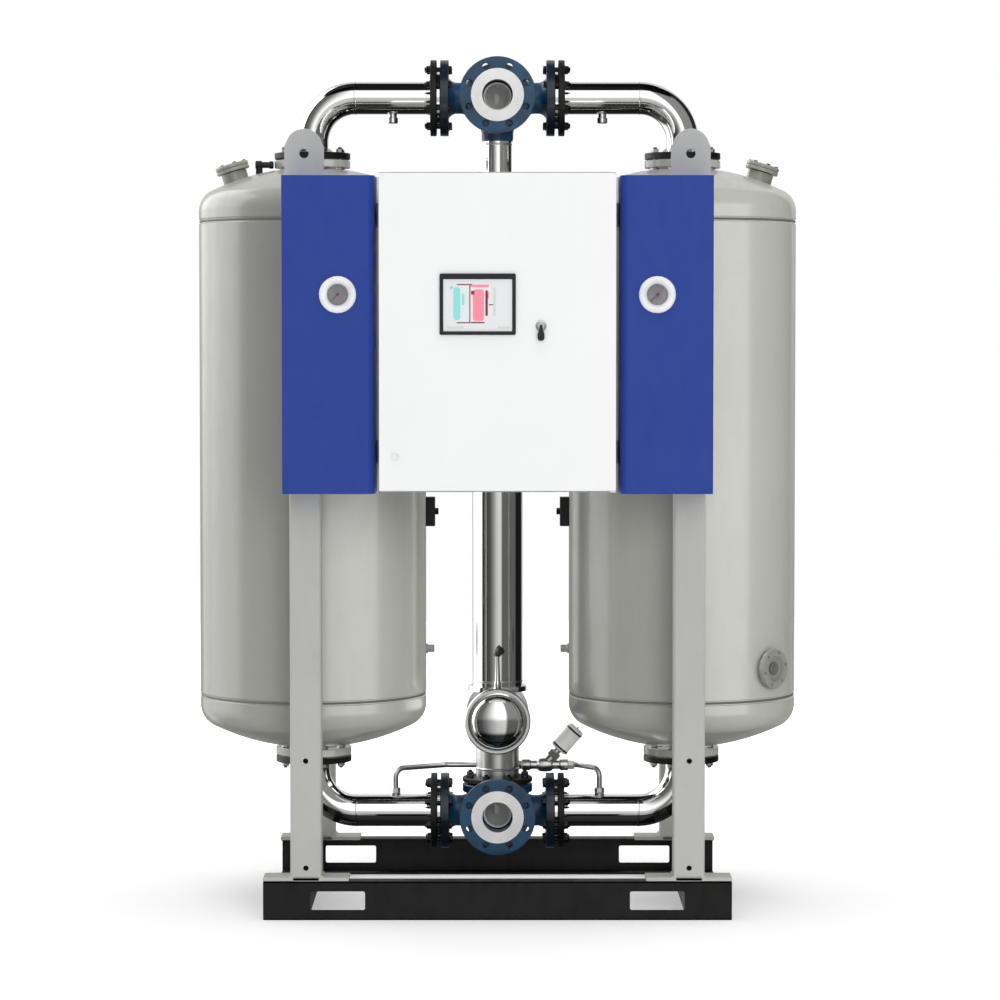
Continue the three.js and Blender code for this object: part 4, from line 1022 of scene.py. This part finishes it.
def header():
    y = TOWER_Y
    drum = revolve(
        [(0, 140), (76, 140), (82, 137), (84, 130), (84, -88), (86, -91), (86, -103), (84, -105),
        (81, -105),
         (81, 130), (78, 137), (0, 137)],
        (0, y, HEADER_Z), (0, 1, 0), 96)
    collar = revolve(
        [(63.5, 70), (77.5, 72), (77.5, 83), (76, 85.7), (63.5, 85.7)], (0, y, HEADER_Z), (0, 0, 1), 96)
    piece("header_drum", joined(drum, collar), COLUMN, stands_for=["heater_header"])
    foot = LOWER.z + 73.3
    neck = revolve(
        [(54, 0), (69, 0), (69, 5), (58, 5), (57, 7), (57, 38), (58.5, 40), (58.5, 42), (57, 44),
        (57, 118), (54, 118)],
        (0, y, foot), (0, 0, 1), 96)
    piece("header_neck", neck, SATIN)
    ring = revolve([(58.6, 5.3), (91, 5.3), (93, 7), (93, 15), (91, 17), (58.6, 17)], (0, y, foot),
        (0, 0, 1), 96)
    piece("header_flange", ring, BLACK)
    studs = [
        bolt(point, (0, 0, 1), 38.6, BOLT_SIZE)
        for point in on_circle("z", (0, y, LOWER.z + 51), 79, 8, TAU / 16)
    ]
    piece("header_studs", joined(*studs), DARK_BOLT)
    dome = [(0, 42)]
    for k in range(1, 17):
        angle = math.pi / 2 * (1 - k / 16)
        dome.append((70 * math.cos(angle), 12 + 30 * math.sin(angle)))
    dome += [(72, 9), (80, 6), (80, 0), (0, 0)]
    face = (0, y - 105.3, HEADER_Z)
    piece("header_dome", revolve(dome, face, (0, -1, 0), 128), DOME, stands_for=["header_cap"])
    clamp = revolve([(80.3, -2), (87, -2), (87, 9), (84, 12), (78, 12), (80.3, 7)], face, (0, -1, 0), 96)
    piece("header_clamp_ring", clamp, SATIN)


def heater():
    y = TOWER_Y
    shell = revolve(
        [(63.5, 564), (66.5, 564), (66.5, 1600), (65.5, 1612), (61, 1628), (44, 1664), (39.5, 1672),
        (38, 1680),
         (35, 1680), (63.5, 1618)],
        (0, y, 0), steps=128)
    piece("heater_jacket", shell, COLUMN, stands_for=["heater_shell"])
    seams = [seam_ring(66.5, (0, y, z), (0, 0, 1), 0.8) for z in (576, 1598)]
    seams += [seam_ring(38, (0, y, z), (0, 0, 1), 0.8) for z in (1683, 2000)]
    piece("heater_seams", joined(*seams), SATIN)
    riser = revolve([(35, 1680.3), (38, 1680.3), (38, 2007.7), (35, 2007.7)], (0, y, 0), steps=96)
    piece("riser_pipe", riser, COLUMN, stands_for=["regeneration_riser"])
    kept("heater_element", ZINC)


def temperature_probe():
    y = TOWER_Y - 84
    stem = revolve(
        [(0, 556), (12, 556), (12, 563), (9, 566), (9, 580), (7, 584), (5.2, 634), (5.2, 652), (0, 652)],
        (0, y, 0), steps=40)
    piece("probe_stem", stem, DOME)
    head = joined(
        hexagon(15, 9, (0, y, 648), (0, 0, 1)),
        revolve([(0, -2), (9, -2), (10.5, 0), (10.5, 14), (9, 16), (0, 16)], (2, y - 4, 660),
            (0.45, -0.6, 0.25), 32),
    )
    piece("probe_head", head, PLASTIC)


# ------------------------------------------------------------------ equalising line
LINE_X, LINE_Y, LINE_Z, LINE_R = 272, TOWER_Y + 80, 340, 7
SEAT_X, SEAT_HALF, SEAT_LEAN = 128, 62.5, math.radians(49)


def equalising_line():
    start = LOWER.z + 42.8
    for side, sign in SIDES.items():
        near = SEAT_X + sign * SEAT_HALF
        turn_x = -140 if sign < 0 else 215
        route = [
            (sign * LINE_X, TOWER_Y, start), (sign * LINE_X, TOWER_Y, LINE_Z),
            (turn_x, LINE_Y, LINE_Z), (near + sign * 0.3, LINE_Y, LINE_Z),
        ]
        piece(
            f"line_{side}", tube(route, 24, LINE_R, 0, 32, 12), SATIN,
            stands_for=[f"equalising_tube_{side}"])
        nuts = joined(
            hexagon(22, 14, (sign * LINE_X, TOWER_Y, start + 4), (0, 0, 1)),
            disc(13, 8, (sign * LINE_X, TOWER_Y, start - 2), (0, 0, 1), 1.5, steps=32),
            hexagon(22, 16, (near, LINE_Y, LINE_Z), (sign, 0, 0)),
        )
        piece(f"line_{side}_nuts", nuts, SATIN)


def angle_valve():
    seat = Vector((SEAT_X, LINE_Y, LINE_Z))
    lean = Vector((math.cos(SEAT_LEAN), 0, math.sin(SEAT_LEAN)))
    body = joined(
        revolve(
            [(0, -62), (6, -62), (14, -62), (15, -60), (15, -42), (11.5, -38), (11.5, -22),
            (17, -16), (18.5, -6),
             (18.5, 6), (17, 16), (11.5, 22), (11.5, 38), (15, 42), (15, 60), (14, 62), (0, 62)],
            seat, (1, 0, 0), 48),
        revolve([(0, 0), (13, 0), (13, 30), (0, 30)], seat, lean, 40),
        hexagon(30, 18, seat + lean * 28, lean),
        revolve([(0, 46), (10, 46), (10, 56), (0, 56)], seat, lean, 32),
    )
    piece("angle_valve_casting", body, SATIN, stands_for=["angle_valve_body"])
    cylinder = revolve(
        [(0, 54.6), (20, 54.6), (24, 57), (24, 126), (22, 130), (19, 131), (4.4, 131), (4.4, 128),
        (0, 128)],
        seat, lean, 72)
    piece("angle_valve_cylinder", cylinder, BRIGHT)
    bands = [revolve([(23, h), (24.6, h), (24.6, h + 5), (23, h + 5)], seat, lean, 64) for h in (60, 118)]
    piece("angle_valve_bands", joined(*bands), DARK_BOLT)
    pointer = revolve([(0, 108), (3.5, 108), (3.5, 135), (2.6, 136), (0, 136)], seat, lean, 24)
    piece("angle_valve_pointer", pointer, DOME, "angle_stem")
    kept("angle_valve_stem", DOME)


# ------------------------------------------------------------------ cabinet
DOOR_FRONT, SHELL_FRONT = -494, -475
SHEET = 2


def inset(half, bottom, top, by, radius):
    """The cabinet's outline taken in by some millimetres all round."""
    return rounded(-half + by, bottom + by, half - by, top - by, radius)


def cabinet():
    low, high = corners("cabinet_shell")
    front, back = SHELL_FRONT, high.y
    half, bottom, top = high.x, low.z, high.z
    outline = rounded(-half, bottom, half, top, 3)
    walls = plate(outline, back - front, (0, front, 0), "front",
        [inset(half, bottom, top, SHEET, 1.5)], 0.4)
    rear = plate(outline, 2, (0, back - 2, 0), "front", (), 0.4)
    lip = plate(outline, 2, (0, front, 0), "front", [inset(half, bottom, top, 12, 2)], 0.3)
    gasket = plate(
        inset(half, bottom, top, 6, 3), 2.4, (0, front - 2.4, 0), "front",
        [inset(half, bottom, top, 11, 2)], 0.8)
    hinge = millimetres(JOINTS["door_hinge"]["pos_m"])
    tabs = []
    for z0, z1 in ((top - 2.4, top), (bottom, bottom + 2.4)):
        tabs.append(slab((hinge.x - 8, hinge.y - 7, z0), (half, front + 1, z1), 0.4))
    pins = [
        revolve([(0, z0), (3, z0), (3, z1), (0, z1)], (hinge.x, hinge.y, 0), (0, 0, 1), 24)
        for z0, z1 in ((top - 12, top - 1), (bottom + 1, bottom + 12))
    ]
    piece("cabinet_box", joined(walls, rear, lip, *tabs, *pins), WHITE, stands_for=["cabinet_shell"])
    piece("cabinet_gasket", gasket, RUBBER)


def door():
    low, high = corners("cabinet_door")
    front, back = DOOR_FRONT, high.y
    half = high.x
    bottom, top = low.z, high.z
    screen_low, screen_high = corners("operator_panel")
    key = millimetres(JOINTS["key_turn"]["pos_m"])
    lock = millimetres(JOINTS["latch_turn"]["pos_m"])
    outline = rounded(-half, bottom, half, top, 3.5)
    window = rounded(screen_low.x + 6, screen_low.z + 6, screen_high.x - 6, screen_high.z - 6, 3)
    skin = plate(
        outline, 2.4, (0, front, 0), "front",
        [window, circle(key.x, key.z, 6.4, 32), circle(lock.x, lock.z, 7.4, 32)], 1.0)
    rim = plate(outline, back - front, (0, front, 0), "front", [inset(half, bottom, top, SHEET, 2)], 0.9)
    stiffener = slab((-200, front + 2, bottom + 120), (-190, back - 1, top - 420), 0.8)
    piece("door_panel", joined(skin, rim, stiffener), WHITE, "door", ["cabinet_door"])
    bezel = revolve(
        [(6.6, 0), (13.5, 0), (14, 1), (13.2, 3.2), (9.2, 4), (8.6, 2), (6.6, 2)],
        (key.x, front, key.z), (0, -1, 0), 48)
    piece("switch_bezel", bezel, SATIN, "door")


def rotary_switch():
    key = millimetres(JOINTS["key_turn"]["pos_m"])
    front = DOOR_FRONT
    hub = revolve(
        [(0, -16), (6, -16), (6, 2.4), (8, 2.4), (8, 8), (7, 9.5), (0, 9.5)], (key.x, front, key.z),
        (0, -1, 0), 40)
    outline = [(-3.5, 3), (-4.5, -8), (-8.5, -20), (-8.8, -29), (-6.5, -35), (0, -36.5)]
    outline += [(-x, z) for x, z in reversed(outline[:-1])]
    handle = plate([(key.x + x, key.z + z) for x, z in outline], 7, (0, front - 12, 0), "front", (), 1.6)
    piece("switch_hub", hub, SATIN, "key", ["key_switch"])
    piece("switch_handle", handle, PLASTIC, "key")


def quarter_turn_lock():
    lock = millimetres(JOINTS["latch_turn"]["pos_m"])
    front = DOOR_FRONT
    insert = revolve(
        [(0, 0.3), (11, 0.3), (11, 2.4), (10, 3.3), (7.5, 3.3), (7, 1.6), (0, 1.6)],
        (lock.x, front, lock.z), (0, -1, 0), 40)
    bar = slab((lock.x - 1.4, front - 3, lock.z - 6), (lock.x + 1.4, front - 1, lock.z + 6), 0.4)
    barrel = revolve([(0, 0.4), (7, 0.4), (7, 22), (0, 22)], (lock.x, front, lock.z), (0, 1, 0), 32)
    cam_y = front + 22.5
    cam = plate(
        rounded(lock.x - 8, lock.z - 34, lock.x + 8, lock.z + 8, 6), 3, (0, cam_y, 0), "front", (), 0.5)
    piece("lock_insert", joined(insert, bar, barrel), BEZEL, "latch", ["door_latch"])
    piece("lock_cam", cam, ZINC, "latch")


# ------------------------------------------------------------------ operator panel
TEAL = (0.20, 0.55, 0.50)
ROSE = (0.75, 0.20, 0.26)
SCREEN_GREY = (0.72, 0.73, 0.74)


def operator_screen():
    low, high = corners("operator_panel")
    front = low.y
    frame_outline = rounded(low.x, low.z, high.x, high.z, 4)
    opening = rounded(low.x + 9, low.z + 9, high.x - 9, high.z - 14, 2)
    bezel = plate(frame_outline, 5, (0, front, 0), "front", [opening], 1.2)
    housing = slab((low.x + 8, front + 4.2, low.z + 8), (high.x - 8, high.y, high.z - 8), 3)
    piece("screen_bezel", joined(bezel, housing), PLASTIC, "door", ["operator_panel"])
    glass_y = front + 3.4
    x0, z0, x1, z1 = low.x + 8, low.z + 8, high.x - 8, high.z - 13
    screen = slab((x0, glass_y, z0), (x1, glass_y + 1.2, z1), 0.2)
    piece("screen_face", screen, lit_screen("screen_grey", "white_plastic", SCREEN_GREY, 0.2), "door")

    width, height = x1 - x0, z1 - z0

    def spot(u, v):
        return x0 + width * u, z0 + height * v

    def block(u0, v0, u1, v1, radius=1.0):
        (a, b), (c, d) = spot(u0, v0), spot(u1, v1)
        return plate(rounded(a, b, c, d, radius), 0.5, (0, glass_y - 0.4, 0), "front", (), 0.1)

    teal = joined(block(0.15, 0.22, 0.25, 0.84, 7), block(0.27, 0.50, 0.31, 0.72),
        block(0.10, 0.80, 0.15, 0.86))
    rose = joined(block(0.43, 0.20, 0.59, 0.80, 7), block(0.40, 0.84, 0.66, 0.89),
        block(0.63, 0.62, 0.66, 0.76))
    dark = joined(
        block(0.61, 0.30, 0.645, 0.78, 2), block(0.405, 0.70, 0.455, 0.77), block(0.405, 0.16, 0.60, 0.185),
        block(0.20, 0.16, 0.40, 0.18), block(0.20, 0.88, 0.42, 0.90), block(0.38, 0.18, 0.395, 0.88),
        block(0.66, 0.50, 0.72, 0.52))
    pale = joined(block(0.72, 0.30, 0.76, 0.84), block(0.78, 0.06, 0.96, 0.10),
        block(0.06, 0.06, 0.30, 0.10))
    for name, part, colour, glow in (
        ("screen_teal", teal, TEAL, 0.5),
        ("screen_rose", rose, ROSE, 0.5),
        ("screen_dark", dark, (0.16, 0.03, 0.05), 0.15),
        ("screen_pale", pale, (0.52, 0.55, 0.50), 0.4),
    ):
        piece(name, part, lit_screen(name, "white_plastic", colour, glow), "door")


# ------------------------------------------------------------------ inside the cabinet
def cabinet_inside():
    kept("mounting_plate", ZINC, 0.5)
    kept("controller", GREY_PLASTIC, 2.0)
    low, high = corners("controller")
    face = low.y
    keys = [
        slab((low.x + 18 + 22 * k, face - 1.6, low.z + 128),
            (low.x + 32 + 22 * k, face + 1, low.z + 138), 0.8)
        for k in range(8)
    ]
    piece("controller_keys", joined(*keys), BEZEL)
    base = corners("mounting_plate")[0].y
    rails = [slab((-230, base - 7.5, z), (230, base - 0.2, z + 35), 0.8) for z in (1240, 1400)]
    piece("cabinet_rails", joined(*rails), ZINC)
    blocks, screws = [], []
    for z in (1257, 1417):
        for k in range(38):
            x = -196 + 8.2 * k
            blocks.append(slab((x, base - 46, z - 28), (x + 7.4, base - 7, z + 28), 0.8, 1))
            screws.append(disc(2.4, 1.2, (x + 3.7, base - 46.4, z + 16), (0, -1, 0), 0.3, steps=12))
    piece("terminal_blocks", joined(*blocks), BEZEL)
    piece("terminal_screws", joined(*screws), ZINC)
    ducts = [slab((-250, base - 60, z), (250, base - 0.3, z + 40), 1.2) for z in (1150, 1315, 1475, 1740)]
    piece("cable_ducts", joined(*ducts), GREY_PLASTIC)


# ------------------------------------------------------------------ side covers and gauges
PANEL_BEND = 18


def cover_outline(low, high, inset, sign):
    """A cover seen from above: round where it meets the cabinet, nearly sharp outside, open at the back."""
    inner, outer = sorted((abs(low.x), abs(high.x)))
    x0, x1 = inner + inset, outer - inset
    y0 = low.y + inset
    back = high.y
    big, small = PANEL_BEND - inset, 3.5 - inset
    points = [(x0, back)]
    for k in range(13):
        angle = math.pi + math.pi / 2 * k / 12
        points.append((x0 + big + big * math.cos(angle), y0 + big + big * math.sin(angle)))
    for k in range(7):
        angle = 1.5 * math.pi + math.pi / 2 * k / 6
        points.append((x1 - small + small * math.cos(angle), y0 + small + small * math.sin(angle)))
    points.append((x1, back))
    return [(sign * x, y) for x, y in points]


def side_cover(side, sign):
    low, high = corners(f"side_panel_{side}")
    height = high.z - low.z
    outside = cover_outline(low, high, 0, sign)
    inside = cover_outline(low, high, 2, sign)
    wall = plate(outside + inside[::-1], height - 2, (0, 0, high.z - 1), "up", (), 0.3)
    lids = [plate(outside, 2, (0, 0, z), "up", (), 0.6) for z in (high.z, low.z + 2)]
    gauge = middle(f"pressure_gauge_{side}")
    hole = revolve([(0, -10), (31, -10), (31, 10), (0, 10)], (gauge.x, low.y, gauge.z), (0, 1, 0), 64)
    piece(
        f"cover_{side}", joined(carved(wall, hole), *lids), BLUE,
        stands_for=[f"side_panel_{side}"])


def gauge(side):
    low, high = corners(f"pressure_gauge_{side}")
    spot = (low + high) / 2
    skin = corners(f"side_panel_{side}")[0].y - 0.3
    at = (spot.x, skin, spot.z)
    case = revolve(
        [(0, -40), (29, -40), (30, -39), (30, 0), (44, 0), (46, 2), (46, 5.5), (44.5, 8.5),
        (41, 10.6), (37, 11),
         (33, 10.2), (27.6, 6.4), (26.4, 5.4), (26, 3.2), (1.8, 3.2), (1.8, -6), (0, -6)],
        at, (0, -1, 0), 96)
    piece(f"gauge_{side}_case", case, BEZEL, stands_for=[f"pressure_gauge_{side}"])
    face = disc(25.9, 0.5, (spot.x, skin - 3.3, spot.z), (0, -1, 0), 0.1, hole=1.9, steps=72)
    piece(f"gauge_{side}_dial", face, DIAL)
    ticks = []
    for k in range(31):
        angle = math.radians(225 - 9 * k)
        length, half = (4.2, 0.45) if k % 5 == 0 else (2.4, 0.25)
        tick = slab((24 - length, -half, 0), (24, half, 0.25), 0)
        turn = Matrix.Translation((spot.x, skin - 3.85,
            spot.z)) @ FACING["front"] @ Matrix.Rotation(angle, 4, "Z")
        ticks.append(placed(tick, turn))
    piece(f"gauge_{side}_ticks", joined(*ticks), INK)
    cover = disc(26.6, 0.8, (spot.x, skin - 8.6, spot.z), (0, -1, 0), 0.2, steps=72)
    piece(f"gauge_{side}_glass", cover, GLASS)
    kept(f"gauge_needle_{side}", NEEDLE)


def covers():
    for side, sign in SIDES.items():
        side_cover(side, sign)
        gauge(side)


# ------------------------------------------------------------------ studio
FLOOR_RADIUS = 9.0
FLOOR_GLOW, FLOOR_GLOW_BEHIND = 0.36, 0.85

# What polished metal sees, by degrees round from the camera's side, positive to its right, and by height.
ROUND_ABOUT = [
    (-180, 0.3), (-152, 0.3), (-148, 1.3), (-78, 1.3), (-73, 0.03), (-36, 0.07), (-22, 0.2),
    (0, 0.62), (16, 0.7),
    (21, 0.12), (89, 0.11), (94, 0.01), (143, 0.01), (147, 0.5), (153, 0.3), (180, 0.3),
]
UP_AND_DOWN = [(-90, 0.02), (-33, 0.06), (-25, 0.9), (-3, 1.0), (5, 2.2), (51, 2.3), (56, 0.02), (90, 0.02)]


def floor():
    part = bmesh.new()
    bmesh.ops.create_circle(part, cap_ends=True, segments=96, radius=FLOOR_RADIUS)
    mesh = bpy.data.meshes.new("floor")
    part.to_mesh(mesh)
    part.free()
    made = Finish("floor_white", "white_paint", Metallic=0.0)
    shade_of_white = made.blend(made.noise(3, 2), (0.84, 0.84, 0.845), (0.86, 0.86, 0.865))
    made.colour(shade_of_white)
    made.link(shade_of_white, made.shader.inputs["Emission Color"])
    split = made.node("ShaderNodeSeparateXYZ")
    made.link(made.place(), split.inputs["Vector"])
    glow = made.spread(split.outputs["Y"], FLOOR_GLOW, FLOOR_GLOW_BEHIND, 0.7, 3.0)
    made.link(glow, made.shader.inputs["Emission Strength"])
    made.roughness(made.spread(made.noise(20, 3), 0.9, 1.0))
    mesh.materials.append(made.material)
    surface = bpy.data.objects.new("floor", mesh)
    bpy.context.scene.collection.objects.link(surface)
    surface.visible_glossy = False


def softbox(name, location, target, size, radiance, shine=False, only=None):
    """A rectangular light; `shine` lets it show in reflections, `only` limits it to some pieces."""
    data = bpy.data.lights.new(name, "AREA")
    data.shape = "RECTANGLE"
    data.size, data.size_y = size
    data.energy = radiance * math.pi * size[0] * size[1]
    made = bpy.data.objects.new(name, data)
    made.location = location
    made.rotation_euler = (Vector(target) - Vector(location)).to_track_quat("-Z", "Y").to_euler()
    made.visible_glossy = shine
    made.visible_camera = False
    bpy.context.scene.collection.objects.link(made)
    if only:
        receivers = bpy.data.collections.new(f"{name}_receivers")
        for lit in only:
            receivers.objects.link(lit)
        made.light_linking.receiver_collection = receivers
    return made


def at_bearing(degrees, distance, height):
    """A place round the dryer, in degrees from the camera's side, positive to its right."""
    angle = math.radians(degrees)
    return (distance * math.sin(angle), -distance * math.cos(angle), height)


def ramp(tree, stops, low, high):
    """A greyscale curve through (value, brightness) stops between low and high."""
    remap = tree.nodes.new("ShaderNodeMapRange")
    remap.inputs["From Min"].default_value = low
    remap.inputs["From Max"].default_value = high
    curve = tree.nodes.new("ShaderNodeValToRGB")
    elements = curve.color_ramp.elements
    while len(elements) < len(stops):
        elements.new(0.5)
    for element, (value, brightness) in zip(elements, stops):
        element.position = (value - low) / (high - low)
        element.color = (brightness, brightness, brightness, 1)
    tree.links.new(remap.outputs["Result"], curve.inputs["Fac"])
    return remap.inputs["Value"], curve.outputs["Color"]


def world(ambient):
    """White to the eye; metal sees a studio of soft bands, and everything gets an even ambient light."""
    made = bpy.data.worlds.new("studio")
    bpy.context.scene.world = made
    made.use_nodes = True
    tree = made.node_tree
    tree.nodes.clear()

    def add(kind, **settings):
        node = tree.nodes.new(kind)
        for key, value in settings.items():
            setattr(node, key, value)
        return node

    def background(strength):
        node = add("ShaderNodeBackground")
        node.inputs["Color"].default_value = (1, 1, 1, 1)
        node.inputs["Strength"].default_value = strength
        return node

    def mathematics(operation, first, second=None):
        node = add("ShaderNodeMath", operation=operation)
        tree.links.new(first, node.inputs[0])
        if second is not None:
            tree.links.new(second, node.inputs[1])
        return node.outputs["Value"]

    coordinates = add("ShaderNodeTexCoord")
    split = add("ShaderNodeSeparateXYZ")
    tree.links.new(coordinates.outputs["Generated"], split.inputs["Vector"])
    toward_camera = add("ShaderNodeMath", operation="MULTIPLY")
    toward_camera.inputs[1].default_value = -1
    tree.links.new(split.outputs["Y"], toward_camera.inputs[0])
    bearing = mathematics("ARCTAN2", split.outputs["X"], toward_camera.outputs["Value"])
    rise = mathematics("ARCSINE", split.outputs["Z"])
    turn = [(math.radians(value), brightness) for value, brightness in ROUND_ABOUT]
    lift = [(math.radians(value), brightness) for value, brightness in UP_AND_DOWN]
    bearing_in, bands = ramp(tree, turn, -math.pi, math.pi)
    rise_in, levels = ramp(tree, lift, -math.pi / 2, math.pi / 2)
    tree.links.new(bearing, bearing_in)
    tree.links.new(rise, rise_in)
    pattern = add("ShaderNodeMix", data_type="RGBA", blend_type="MULTIPLY")
    pattern.inputs[0].default_value = 1
    colours = [s for s in pattern.inputs if s.type == "RGBA"]
    tree.links.new(bands, colours[0])
    tree.links.new(levels, colours[1])
    reflected = background(1.0)
    tree.links.new(next(s for s in pattern.outputs if s.type == "RGBA"), reflected.inputs["Color"])

    ray = add("ShaderNodeLightPath")
    inner = add("ShaderNodeMixShader")
    tree.links.new(ray.outputs["Is Glossy Ray"], inner.inputs["Fac"])
    tree.links.new(background(ambient).outputs["Background"], inner.inputs[1])
    tree.links.new(reflected.outputs["Background"], inner.inputs[2])
    outer = add("ShaderNodeMixShader")
    tree.links.new(ray.outputs["Is Camera Ray"], outer.inputs["Fac"])
    tree.links.new(inner.outputs["Shader"], outer.inputs[1])
    tree.links.new(background(1.0).outputs["Background"], outer.inputs[2])
    output = add("ShaderNodeOutputWorld")
    tree.links.new(outer.outputs["Shader"], output.inputs["Surface"])


LENS, CAMERA_PLACE = 123.7, (0, -9.027, 1.49)
CAMERA_DOWN, CAMERA_TURN = 2.71, -0.042
AMBIENT = 0.42
# name, place, target, size, radiance, and whether it lights only the towers
LAMPS = [
    ("front", at_bearing(12, 8.6, 3.4), (0, 0, 1.1), (5.0, 3.0), 4.0, False),
    ("overhead", (0, 0.1, 5.4), (0, 0.1, 0), (5.0, 5.0), 2.6, False),
    ("tank_right", at_bearing(41, 6.0, 1.6), (0, 0, 1.2), (6.6, 5.0), 2.9, True),
    ("tank_left", at_bearing(-99, 6.0, 1.6), (0, 0, 1.2), (4.4, 5.0), 0.7, True),
]
UNREFLECTED = ("tower_", "desiccant_bed_", "bed_screen_", "cover_", "post_rear_")


def camera():
    data = bpy.data.cameras.new("camera")
    data.lens = LENS
    data.sensor_width = 36
    data.clip_end = 60
    made = bpy.data.objects.new("camera", data)
    made.location = CAMERA_PLACE
    made.rotation_euler = (math.radians(90 - CAMERA_DOWN), 0, math.radians(CAMERA_TURN))
    bpy.context.scene.collection.objects.link(made)
    bpy.context.scene.camera = made


def studio(tanks):
    floor()
    world(AMBIENT)
    camera()
    for name, place, target, size, radiance, towers_only in LAMPS:
        softbox(name, place, target, size, radiance, towers_only, tanks if towers_only else None)
    for made in bpy.data.objects:
        if made.name.startswith(UNREFLECTED):
            made.visible_glossy = False
    bpy.context.scene.view_settings.view_transform = "Standard"


skid()
tanks = towers()
pipes()
valves()
header()
heater()
temperature_probe()
equalising_line()
angle_valve()
cabinet()
door()
rotary_switch()
quarter_turn_lock()
operator_screen()
cabinet_inside()
covers()
studio(tanks)
